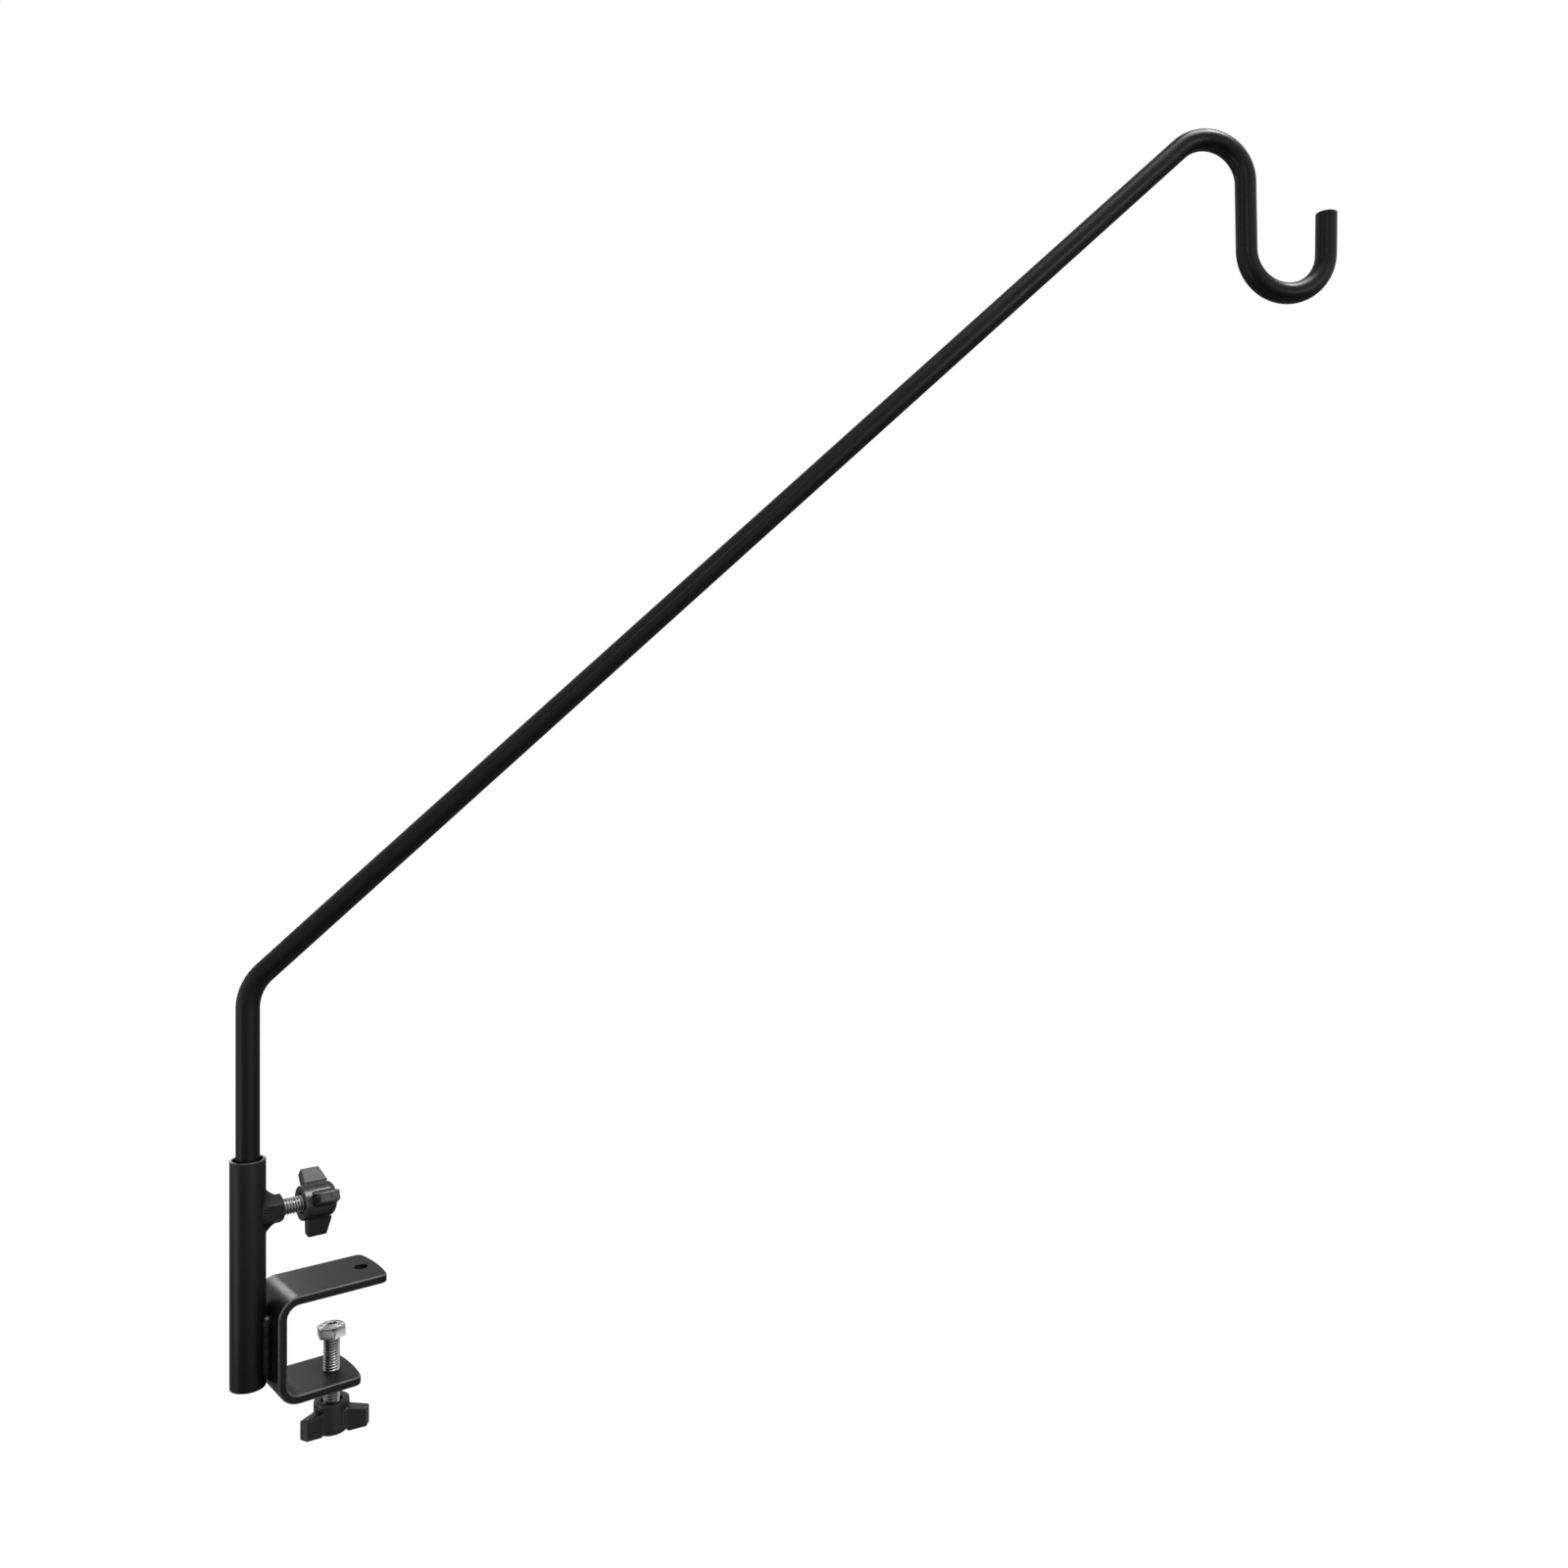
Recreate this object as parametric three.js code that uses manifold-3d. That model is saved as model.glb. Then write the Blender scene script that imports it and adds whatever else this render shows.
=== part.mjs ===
// Clamp-on deck hook: a bent steel rod held in a sleeve that is welded to a C bracket.
// The bracket grips a deck rail with a screw from below, and a second screw locks the rod in the sleeve.
// Millimetres, +Z up. The origin is on the underside of the top plate, straight above the clamp screw.

import * as THREE from 'three';
import { mergeVertices } from 'three/addons/utils/BufferGeometryUtils.js';
import Module from 'manifold-3d';

const wasm = await Module();
wasm.setup();

// Clearances and cutting
const seatGap = 0.3;
const overrun = 1;

// Steel rod: leg, diagonal, drop and open hook, all in one plane
const rodDiameter = 12.7;
const rodEndBreak = 0.8;
const legRise = 96.2;
const diagonalLength = 796;
const diagonalAngle = 42.58;
const dropLength = 97.4;
const dropLean = 1;
const tipLength = 24.8;
const lowerBendRadius = 28;
const upperBendRadius = 25.4;
const hookRadius = 25.9;
const hookTurn = 178.3;
const armSwing = -33;

// Cap on the foot of the rod
const capWall = 0.9;
const capFloor = 1.2;
const capHeight = 12;
const footInset = 1;

// Sleeve
const sleeveDiameter = 19.05;
const sleeveWall = 1.5;
const sleeveLength = 127;
const sleeveRise = 80.7;
const sleeveRimBreak = 0.4;

// Bracket, bent from flat bar
const barWidth = 42;
const barThickness = 5;
const barEdgeBreak = 0.7;
const bendInnerRadius = 7;
const jawHeight = 50;
const screwReach = 37.2;
const topPlateLength = 64.4;
const bottomPlateLength = 49;
const plateEndRadius = 110;
const plateCornerRadius = 4.5;
const fixingHoleDiameter = 8;
const fixingHoleInset = 9.8;

// Screws of the lock and of the clamp
const screwDiameter = 9.4;
const screwEndChamfer = 1;
const threadEngagement = 12.7;
const hexChamferDepth = 1.2;
const hexChamferRadiusShare = 0.95;
const boltHeadFlats = 14.3;
const boltHeadHeight = 6;
const boltHeadDishDiameter = 9.2;
const boltHeadDishDepth = 0.6;
const boltRaise = 19.5;
const clampKnobGap = 12.3;
const lockNutFlats = 14.3;
const lockNutHeight = 8.4;
const lockDrop = 31;
const lockKnobGap = 10.8;

// Three-winged knob and its threaded insert
const hubDiameter = 19.8;
const hubLength = 18.8;
const hubDomeLength = 4;
const hubTopDiameter = 12;
const hubRimBreak = 0.5;
const collarHeight = 4;
const wingSpan = 42;
const wingRootWidth = 14.2;
const wingTipWidth = 11.4;
const wingRootThickness = 7.4;
const wingTipThickness = 5.8;
const wingRootFillet = 2.6;
const wingEdgeBreak = 0.8;
const knobRecessDepth = 2.5;
const insertDiameter = 12.8;
const insertLength = 9;
const insertGrooveDepth = 0.6;
const insertGrooveWidth = 1.6;
const knobBoreSpare = 1.5;
const lockKnobTurn = 70;
const clampKnobTurn = -37;

// Welds
const beadLeg = 5.4;
const beadCrown = 0.6;
const nutWeldFoot = 13;
const nutWeldNeck = 9.2;
const nutWeldHeight = 4.2;
const nutWeldFootShare = 0.66;
const nutWeldNeckShare = 0.89;
const nutWeldSink = 4;

// Counts that the shapes have
const wingCount = 3;
const hexSides = 6;

// Facet counts
const rodSides = 24;
const roundSides = 36;
const arcSteps = 6;
const bendStepAngle = 6;

// Places that follow from the sizes
const rodRadius = rodDiameter / 2;
const sleeveRadius = sleeveDiameter / 2;
const screwRadius = screwDiameter / 2;
const webX = -screwReach;
const sleeveX = webX - seatGap - sleeveRadius;
const sleeveTop = sleeveRise;
const sleeveBottom = sleeveRise - sleeveLength;
const lockZ = sleeveTop - lockDrop;
const nutBaseX = sleeveX + sleeveRadius + seatGap;
const nutFaceX = nutBaseX + lockNutHeight;
const lockKnobX = nutFaceX + lockKnobGap;
const capBottom = sleeveBottom + footInset;
const rodFoot = capBottom + capFloor + seatGap;
const bracketBottom = -jawHeight - barThickness;
const clampKnobZ = bracketBottom - clampKnobGap;
const fixingHoleX = webX + topPlateLength - fixingHoleInset;

const coatedSteel = new THREE.MeshStandardMaterial({ color: 0x17181a, roughness: 0.42, metalness: 0.3 });
const mouldedPlastic = new THREE.MeshStandardMaterial({ color: 0x1e1f20, roughness: 0.62, metalness: 0 });
const zincSteel = new THREE.MeshStandardMaterial({ color: 0xc4c7c9, roughness: 0.28, metalness: 1 });
const darkSteel = new THREE.MeshStandardMaterial({ color: 0x3c3d3e, roughness: 0.5, metalness: 1 });
const softCap = new THREE.MeshStandardMaterial({ color: 0x202122, roughness: 0.75, metalness: 0 });

const radians = THREE.MathUtils.degToRad;
const point = (x, y) => new THREE.Vector2(x, y);

// The solid of a closed geometry, with its faces pointing out
function solidOf(geometry) {
  const bare = geometry.clone();
  bare.deleteAttribute('normal');
  bare.deleteAttribute('uv');
  const merged = mergeVertices(bare);
  const vertProperties = new Float32Array(merged.attributes.position.array);
  const corners = merged.index.array;
  const triangles = [];
  for (let i = 0; i < corners.length; i += 3) {
    const [a, b, c] = [corners[i], corners[i + 1], corners[i + 2]];
    if (a !== b && b !== c && c !== a) triangles.push(a, b, c);
  }
  if (signedVolume(vertProperties, triangles) < 0) triangles.reverse();
  return new wasm.Manifold(
    new wasm.Mesh({ numProp: 3, vertProperties, triVerts: new Uint32Array(triangles) }),
  );
}

function signedVolume(positions, triangles) {
  const [a, b, c] = [new THREE.Vector3(), new THREE.Vector3(), new THREE.Vector3()];
  let sum = 0;
  for (let i = 0; i < triangles.length; i += 3) {
    a.fromArray(positions, triangles[i] * 3);
    b.fromArray(positions, triangles[i + 1] * 3);
    c.fromArray(positions, triangles[i + 2] * 3);
    sum += a.dot(b.cross(c));
  }
  return sum;
}

// The geometry of a solid, ready for a mesh
function geometryOf(solid) {
  const { numProp, vertProperties, triVerts } = solid.getMesh();
  const geometry = new THREE.BufferGeometry();
  geometry.setAttribute('position', new THREE.BufferAttribute(new Float32Array(vertProperties), numProp));
  geometry.setIndex(new THREE.BufferAttribute(new Uint32Array(triVerts), 1));
  geometry.computeVertexNormals();
  return geometry;
}

function addPiece(parent, name, solid, material) {
  const mesh = new THREE.Mesh(geometryOf(solid), material.clone());
  mesh.name = name;
  parent.add(mesh);
  return mesh;
}

// A solid turned from (radius, height) points about Z
function turned(profile) {
  return solidOf(new THREE.LatheGeometry(profile, roundSides).rotateX(Math.PI / 2));
}

// A round pin along Z from one height to another
function pin(radius, from, to) {
  return turned([point(0, from), point(radius, from), point(radius, to), point(0, to)]);
}

// A straight extrusion along Z of an outline in X and Y
function extruded(outline, from, to) {
  const geometry = new THREE.ExtrudeGeometry(outline, {
    depth: to - from,
    bevelEnabled: false,
    curveSegments: arcSteps,
  });
  return solidOf(geometry.translate(0, 0, from));
}

function arcPoints(centre, radius, fromAngle, toAngle, steps = arcSteps) {
  return Array.from({ length: steps + 1 }, (_, i) => {
    const angle = fromAngle + ((toAngle - fromAngle) * i) / steps;
    return point(centre.x + radius * Math.cos(angle), centre.y + radius * Math.sin(angle));
  });
}

// Turns what was made along Z so that it runs along X
const alongX = (solid) => solid.rotate([0, 90, 0]);

// A planar run of straights and bends, whose steps fall only where it bends
class BentRun extends THREE.Curve {
  constructor(start, heading) {
    super();
    this.place = start.clone();
    this.heading = heading;
    this.stations = [];
    this.mark();
  }

  mark() {
    const tangent = new THREE.Vector3(Math.cos(this.heading), 0, Math.sin(this.heading));
    this.stations.push({ place: this.place.clone(), tangent });
  }

  straight(length) {
    const step = new THREE.Vector3(Math.cos(this.heading), 0, Math.sin(this.heading));
    this.place.addScaledVector(step, length);
    this.mark();
    return this;
  }

  // A bend through a turn in radians, positive to the left seen with +X right and +Z up
  bend(turn, radius) {
    const side = Math.sign(turn);
    const toCentre = this.heading + (side * Math.PI) / 2;
    const centre = this.place.clone();
    centre.x += radius * Math.cos(toCentre);
    centre.z += radius * Math.sin(toCentre);
    const steps = Math.max(1, Math.round(Math.abs(turn) / radians(bendStepAngle)));
    const first = this.heading;
    for (let i = 1; i <= steps; i += 1) {
      this.heading = first + (turn * i) / steps;
      const outward = this.heading - (side * Math.PI) / 2;
      this.place.x = centre.x + radius * Math.cos(outward);
      this.place.z = centre.z + radius * Math.sin(outward);
      this.mark();
    }
    return this;
  }

  stationAt(share) {
    return this.stations[Math.round(share * (this.stations.length - 1))];
  }

  getPointAt(share) {
    return this.stationAt(share).place.clone();
  }

  getTangentAt(share) {
    return this.stationAt(share).tangent.clone();
  }
}

// The rod's centreline in the arm's own plane, from foot to tip, with the leg on Z
function armRun() {
  const upTurn = radians(diagonalAngle - 90);
  const downTurn = radians(-90 + dropLean - diagonalAngle);
  const lowerSetback = lowerBendRadius * Math.tan(Math.abs(upTurn) / 2);
  const upperSetback = upperBendRadius * Math.tan(Math.abs(downTurn) / 2);
  const run = new BentRun(new THREE.Vector3(0, 0, rodFoot), Math.PI / 2);
  run.straight(sleeveTop + legRise - lowerSetback - rodFoot);
  run.bend(upTurn, lowerBendRadius);
  run.straight(diagonalLength - lowerSetback - upperSetback);
  run.bend(downTurn, upperBendRadius);
  run.straight(dropLength - upperSetback);
  run.bend(radians(hookTurn), hookRadius);
  run.straight(tipLength);
  return run;
}

// Cuts the sharp edge from a rod end that lies at a place and faces a direction
function endBreakCutter(place, direction) {
  const cutter = turned([
    point(rodRadius - rodEndBreak - overrun, overrun),
    point(rodRadius + overrun, overrun),
    point(rodRadius + overrun, -rodEndBreak - overrun),
    point(rodRadius - rodEndBreak - overrun, overrun),
  ]);
  const tilt = THREE.MathUtils.radToDeg(Math.atan2(direction.x, direction.z));
  return cutter.rotate([0, tilt, 0]).translate([place.x, 0, place.z]);
}

function hookArm() {
  const run = armRun();
  const section = new THREE.Shape(arcPoints(point(0, 0), rodRadius, 0, 2 * Math.PI, rodSides).slice(0, -1));
  const rod = solidOf(
    new THREE.ExtrudeGeometry(section, { extrudePath: run, steps: run.stations.length - 1 }),
  );
  const foot = run.stations[0];
  const tip = run.stations[run.stations.length - 1];
  return rod
    .subtract(endBreakCutter(foot.place, foot.tangent.clone().negate()))
    .subtract(endBreakCutter(tip.place, tip.tangent));
}

function armFootCap() {
  const inner = rodRadius + seatGap;
  const outer = inner + capWall;
  return turned([
    point(0, capBottom),
    point(outer - capWall, capBottom),
    point(outer, capBottom + capWall),
    point(outer, capBottom + capHeight),
    point(inner, capBottom + capHeight),
    point(inner, capBottom + capFloor),
    point(0, capBottom + capFloor),
  ]);
}

function sleeveTube() {
  const outer = sleeveRadius;
  const inner = sleeveRadius - sleeveWall;
  const rim = sleeveRimBreak;
  const tube = turned([
    point(inner, sleeveBottom + rim),
    point(inner + rim, sleeveBottom),
    point(outer - rim, sleeveBottom),
    point(outer, sleeveBottom + rim),
    point(outer, sleeveTop - rim),
    point(outer - rim, sleeveTop),
    point(inner + rim, sleeveTop),
    point(inner, sleeveTop - rim),
    point(inner, sleeveBottom + rim),
  ]);
  const screwWay = alongX(pin(screwRadius + seatGap, 0, outer + overrun)).translate([0, 0, lockZ]);
  return tube.subtract(screwWay);
}

// The side view of the bent bar, with X along the plates and Y for height
function bracketProfile() {
  const outerRadius = bendInnerRadius + barThickness;
  const turnX = webX + outerRadius;
  const upper = point(turnX, -bendInnerRadius);
  const lower = point(turnX, -jawHeight + bendInnerRadius);
  const topEnd = webX + topPlateLength + overrun;
  const bottomEnd = webX + bottomPlateLength + overrun;
  return new THREE.Shape([
    point(topEnd, barThickness),
    ...arcPoints(upper, outerRadius, Math.PI / 2, Math.PI),
    ...arcPoints(lower, outerRadius, Math.PI, Math.PI * 1.5),
    point(bottomEnd, bracketBottom),
    point(bottomEnd, -jawHeight),
    ...arcPoints(lower, bendInnerRadius, Math.PI * 1.5, Math.PI),
    ...arcPoints(upper, bendInnerRadius, Math.PI, Math.PI / 2),
    point(topEnd, 0),
  ]);
}

// A plate seen from above, with a curved end and rounded corners
function plateOutline(length) {
  const half = barWidth / 2;
  const clear = half + overrun;
  const back = webX - overrun;
  const endCentre = webX + length - plateEndRadius;
  const cornerY = half - plateCornerRadius;
  const cornerX = endCentre + Math.sqrt((plateEndRadius - plateCornerRadius) ** 2 - cornerY ** 2);
  const meet = Math.atan2(cornerY, cornerX - endCentre);
  return new THREE.Shape([
    point(back, -clear),
    point(cornerX, -clear),
    ...arcPoints(point(cornerX, -cornerY), plateCornerRadius, -Math.PI / 2, -meet),
    ...arcPoints(point(endCentre, 0), plateEndRadius, -meet, meet).slice(1, -1),
    ...arcPoints(point(cornerX, cornerY), plateCornerRadius, meet, Math.PI / 2),
    point(cornerX, clear),
    point(back, clear),
  ]);
}

function clampBracket() {
  const bar = new THREE.ExtrudeGeometry(bracketProfile(), {
    depth: barWidth - 2 * barEdgeBreak,
    bevelThickness: barEdgeBreak,
    bevelSize: barEdgeBreak,
    bevelOffset: -barEdgeBreak,
    bevelSegments: 1,
  });
  bar.translate(0, 0, barEdgeBreak - barWidth / 2).rotateX(Math.PI / 2);
  const middle = -jawHeight / 2;
  const topPlan = extruded(plateOutline(topPlateLength), middle, barThickness + overrun);
  const bottomPlan = extruded(plateOutline(bottomPlateLength), bracketBottom - overrun, middle);
  const screwWay = pin(screwRadius + seatGap, bracketBottom - overrun, -jawHeight + overrun);
  const fixingHole = pin(fixingHoleDiameter / 2, -overrun, barThickness + overrun);
  return solidOf(bar)
    .intersect(topPlan.add(bottomPlan))
    .subtract(screwWay)
    .subtract(fixingHole.translate([fixingHoleX, 0, 0]));
}

// A weld bead in the corner between the sleeve and the web, on the side given as 1 or -1
function bracketWeld(side) {
  const keepOff = sleeveRadius + seatGap;
  const rootY = Math.sqrt(keepOff ** 2 - sleeveRadius ** 2);
  const rootAngle = Math.atan2(rootY, sleeveRadius);
  const toeAngle = rootAngle + beadLeg / keepOff;
  const sleeveToe = point(keepOff * Math.cos(toeAngle), keepOff * Math.sin(toeAngle));
  const webToe = point(sleeveRadius, rootY + beadLeg);
  const crown = point((sleeveToe.x + webToe.x) / 2, (sleeveToe.y + webToe.y) / 2 + beadCrown);
  const outline = new THREE.Shape([
    ...arcPoints(point(0, 0), keepOff, rootAngle, toeAngle),
    crown,
    webToe,
  ]);
  const outerRadius = bendInnerRadius + barThickness;
  const from = Math.max(sleeveBottom + seatGap, bracketBottom + outerRadius);
  const to = Math.min(sleeveTop, barThickness - outerRadius);
  const bead = extruded(outline, from, to);
  return (side > 0 ? bead : bead.mirror([0, 1, 0])).translate([sleeveX, 0, 0]);
}

// A hexagon prism along Z with flats facing Y, from one height to another
function hexPrism(flats, from, to) {
  const corner = flats / Math.sqrt(3);
  const corners = arcPoints(point(0, 0), corner, 0, 2 * Math.PI, hexSides).slice(0, -1);
  return extruded(new THREE.Shape(corners), from, to);
}

// A hexagon nut or bolt head along Z, with its corners chamfered at the top
function chamferedHex(flats, height) {
  const corner = flats / Math.sqrt(3) + overrun;
  const faceRadius = (flats / 2) * hexChamferRadiusShare;
  const slope = (flats / Math.sqrt(3) - faceRadius) / hexChamferDepth;
  const cone = turned([
    point(0, -overrun),
    point(corner, -overrun),
    point(corner, height - (corner - faceRadius) / slope),
    point(faceRadius, height),
    point(0, height),
  ]);
  return hexPrism(flats, 0, height + overrun).intersect(cone);
}

function lockNut() {
  const nut = chamferedHex(lockNutFlats, lockNutHeight);
  const bored = nut.subtract(pin(screwRadius + seatGap, -overrun, lockNutHeight + overrun));
  return alongX(bored).translate([nutBaseX, 0, lockZ]);
}

// The saddle of weld metal that fills the corner between nut and sleeve, narrower across the sleeve
function lockNutWeld() {
  const base = sleeveRadius - nutWeldSink;
  const foot = sleeveRadius + seatGap;
  const top = foot + nutWeldHeight;
  const reach = nutWeldFoot - nutWeldNeck;
  const sweep = arcPoints(point(0, 0), 1, -Math.PI / 2, -Math.PI);
  const curve = sweep.map((p) => point(nutWeldFoot + p.x * reach, top + p.y * nutWeldHeight));
  const mound = new THREE.LatheGeometry(
    [point(0, base), point(nutWeldFoot, base), ...curve, point(0, top)],
    roundSides,
  ).rotateX(Math.PI / 2);
  const places = mound.attributes.position;
  for (let i = 0; i < places.count; i += 1) {
    const share = THREE.MathUtils.clamp((places.getZ(i) - foot) / nutWeldHeight, 0, 1);
    places.setY(i, places.getY(i) * THREE.MathUtils.lerp(nutWeldFootShare, nutWeldNeckShare, share));
  }
  const sleeveRoom = pin(sleeveRadius + seatGap, -nutWeldFoot - overrun, nutWeldFoot + overrun);
  const nutRoom = alongX(hexPrism(lockNutFlats + 2 * seatGap, sleeveRadius, top + overrun));
  const screwRoom = alongX(pin(screwRadius + seatGap, 0, top + overrun));
  return alongX(solidOf(mound))
    .subtract(sleeveRoom)
    .subtract(nutRoom)
    .subtract(screwRoom)
    .translate([sleeveX, 0, lockZ]);
}

// A threaded shank along Z between two heights, chamfered at both ends
function shank(from, to) {
  const tip = screwRadius - screwEndChamfer;
  return turned([
    point(0, from),
    point(tip, from),
    point(screwRadius, from + screwEndChamfer),
    point(screwRadius, to - screwEndChamfer),
    point(tip, to),
    point(0, to),
  ]);
}

function lockStud() {
  const tipX = sleeveX + rodRadius + seatGap;
  return alongX(shank(tipX, lockKnobX + threadEngagement)).translate([0, 0, lockZ]);
}

function clampBolt() {
  const headBase = -jawHeight + boltRaise;
  const dish = pin(boltHeadDishDiameter / 2, boltHeadHeight - boltHeadDishDepth, boltHeadHeight + overrun);
  const head = chamferedHex(boltHeadFlats, boltHeadHeight).subtract(dish).translate([0, 0, headBase]);
  const end = clampKnobZ - threadEngagement;
  return head.add(shank(end, headBase + boltHeadHeight / 2));
}

// The threaded insert along Z, with its open face at height zero and its body below
function knobInsert() {
  const outer = insertDiameter / 2;
  const inner = screwRadius + seatGap;
  const top = -knobRecessDepth;
  const bottom = top - insertLength;
  const grooveTop = (top + bottom + insertGrooveWidth) / 2;
  const grooveBottom = grooveTop - insertGrooveWidth;
  const groove = outer - insertGrooveDepth;
  return turned([
    point(inner, bottom),
    point(outer, bottom),
    point(outer, grooveBottom),
    point(groove, grooveBottom),
    point(groove, grooveTop),
    point(outer, grooveTop),
    point(outer, top),
    point(inner, top),
    point(inner, bottom),
  ]);
}

// Half of one wing's outline, from the hub round the root fillet to beyond the tip
function wingSide() {
  const hub = hubDiameter / 2 - seatGap;
  const tipRadius = wingSpan / 2;
  const taper = (wingRootThickness - wingTipThickness) / 2 / (tipRadius - hub);
  const tilt = Math.atan(taper);
  const normal = point(Math.sin(tilt), Math.cos(tilt));
  const along = point(Math.cos(tilt), -Math.sin(tilt));
  const halfAtAxis = (wingRootThickness / 2 + taper * hub) * Math.cos(tilt);
  const lift = halfAtAxis + wingRootFillet;
  const reach = Math.sqrt((hub + wingRootFillet) ** 2 - lift ** 2);
  const centre = point(normal.x * lift + along.x * reach, normal.y * lift + along.y * reach);
  const fromHub = Math.atan2(centre.y, centre.x) - Math.PI;
  const toSide = -Math.PI / 2 - tilt;
  const fillet = arcPoints(centre, wingRootFillet, fromHub, toSide);
  const beyond = tipRadius + overrun;
  return [...fillet, point(beyond, wingRootThickness / 2 - taper * (beyond - hub))];
}

// The outline of hub and three wings, seen along the knob's axis
function wingsOutline() {
  const upper = wingSide();
  const lower = upper.map((p) => point(p.x, -p.y)).reverse();
  const points = [];
  for (let i = 0; i < wingCount; i += 1) {
    const turn = (i * 2 * Math.PI) / wingCount;
    const wing = [...upper, ...lower].reverse();
    points.push(...wing.map((p) => p.clone().rotateAround(point(0, 0), turn)));
  }
  return new THREE.Shape(points);
}

// The moulded knob along Z, with its open face at height zero and its body below
function wingKnob() {
  const hub = hubDiameter / 2;
  const tip = wingSpan / 2;
  const wingTop = -collarHeight;
  const wingBottom = wingTop - wingRootWidth;
  const tipBottom = wingTop - wingTipWidth;
  const edge = wingEdgeBreak;
  const envelope = turned([
    point(0, wingBottom),
    point(hub, wingBottom),
    point(tip - edge, tipBottom),
    point(tip, tipBottom + edge),
    point(tip, wingTop - edge),
    point(tip - edge, wingTop),
    point(0, wingTop),
  ]);
  const wings = extruded(wingsOutline(), wingBottom - overrun, wingTop + overrun).intersect(envelope);
  const domeStart = -hubLength + hubDomeLength;
  const body = turned([
    point(0, -hubLength),
    point(hubTopDiameter / 2, -hubLength),
    ...arcPoints(point(0, 0), 1, -Math.PI / 2, 0)
      .slice(1)
      .map((p) => point(domeRadius(p.x), domeStart + p.y * hubDomeLength)),
    point(hub, -hubRimBreak),
    point(hub - hubRimBreak, 0),
    point(0, 0),
  ]);
  const pocket = insertDiameter / 2 + seatGap;
  const bore = screwRadius + seatGap;
  const pocketEnd = -knobRecessDepth - insertLength - seatGap;
  const boreEnd = -threadEngagement - knobBoreSpare;
  const hollow = turned([
    point(0, boreEnd - knobBoreSpare),
    point(bore, boreEnd),
    point(bore, pocketEnd),
    point(pocket, pocketEnd),
    point(pocket, overrun),
    point(0, overrun),
  ]);
  return body.add(wings).subtract(hollow);
}

// The hub's radius on its rounded end, from 0 at the flat to 1 at the full hub
function domeRadius(share) {
  const flat = hubTopDiameter / 2;
  return flat + (hubDiameter / 2 - flat) * share;
}

const onClampAxis = (solid) => solid.rotate([0, 0, clampKnobTurn]).translate([0, 0, clampKnobZ]);

// Turns a knob piece so that its open face looks back along X at the sleeve
function onLockAxis(solid) {
  return solid.rotate([0, -90, 0]).rotate([lockKnobTurn, 0, 0]).translate([lockKnobX, 0, lockZ]);
}

const clamp = new THREE.Group();
addPiece(clamp, 'clamp_bracket', clampBracket(), coatedSteel);
addPiece(clamp, 'sleeve_tube', sleeveTube().translate([sleeveX, 0, 0]), coatedSteel);
addPiece(clamp, 'bracket_weld_left', bracketWeld(1), coatedSteel);
addPiece(clamp, 'bracket_weld_right', bracketWeld(-1), coatedSteel);
addPiece(clamp, 'lock_nut', lockNut(), coatedSteel);
addPiece(clamp, 'lock_nut_weld', lockNutWeld(), coatedSteel);

const arm = new THREE.Group();
arm.position.x = sleeveX;
arm.rotation.z = radians(armSwing);
addPiece(arm, 'hook_arm', hookArm(), coatedSteel);
addPiece(arm, 'arm_foot_cap', armFootCap(), softCap);

const lockScrew = new THREE.Group();
addPiece(lockScrew, 'lock_stud', lockStud(), zincSteel);
addPiece(lockScrew, 'lock_knob', onLockAxis(wingKnob()), mouldedPlastic);
addPiece(lockScrew, 'lock_knob_insert', onLockAxis(knobInsert()), darkSteel);

const clampScrew = new THREE.Group();
addPiece(clampScrew, 'clamp_bolt', clampBolt(), zincSteel);
addPiece(clampScrew, 'clamp_knob', onClampAxis(wingKnob()), mouldedPlastic);
addPiece(clampScrew, 'clamp_knob_insert', onClampAxis(knobInsert()), darkSteel);

const deckHook = new THREE.Group();
deckHook.add(clamp, arm, lockScrew, clampScrew);

export default deckHook;
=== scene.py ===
"""Looks for a clamp-on deck hook: coated steel rod, sleeve and bracket, zinc screws and moulded knobs."""

import math

import bmesh
import bpy
from mathutils import Matrix, Vector


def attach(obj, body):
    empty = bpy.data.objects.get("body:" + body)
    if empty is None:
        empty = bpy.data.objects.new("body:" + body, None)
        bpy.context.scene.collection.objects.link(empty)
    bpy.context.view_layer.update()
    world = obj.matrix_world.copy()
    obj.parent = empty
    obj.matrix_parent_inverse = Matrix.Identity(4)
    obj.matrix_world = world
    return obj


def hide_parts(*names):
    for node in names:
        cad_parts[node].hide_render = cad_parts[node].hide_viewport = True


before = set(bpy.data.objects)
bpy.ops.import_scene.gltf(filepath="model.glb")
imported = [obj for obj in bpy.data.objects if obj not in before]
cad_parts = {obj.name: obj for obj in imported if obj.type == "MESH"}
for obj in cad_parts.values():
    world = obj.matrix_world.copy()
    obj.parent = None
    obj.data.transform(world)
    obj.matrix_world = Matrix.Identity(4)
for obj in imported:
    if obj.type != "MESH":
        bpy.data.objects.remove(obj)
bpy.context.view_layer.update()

MM = 0.001

# The camera's level way in degrees, its place in metres, its film and its lens
VIEW_ANGLE = 50
CAMERA_PLACE = (-0.2748, -0.7370, 0.2900)
FILM_WIDTH = 36
LENS = 29.25

UP = Vector((0, 0, 1))
AHEAD = Vector((math.cos(math.radians(VIEW_ANGLE)), math.sin(math.radians(VIEW_ANGLE)), 0))
RIGHT = AHEAD.cross(UP)

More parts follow.
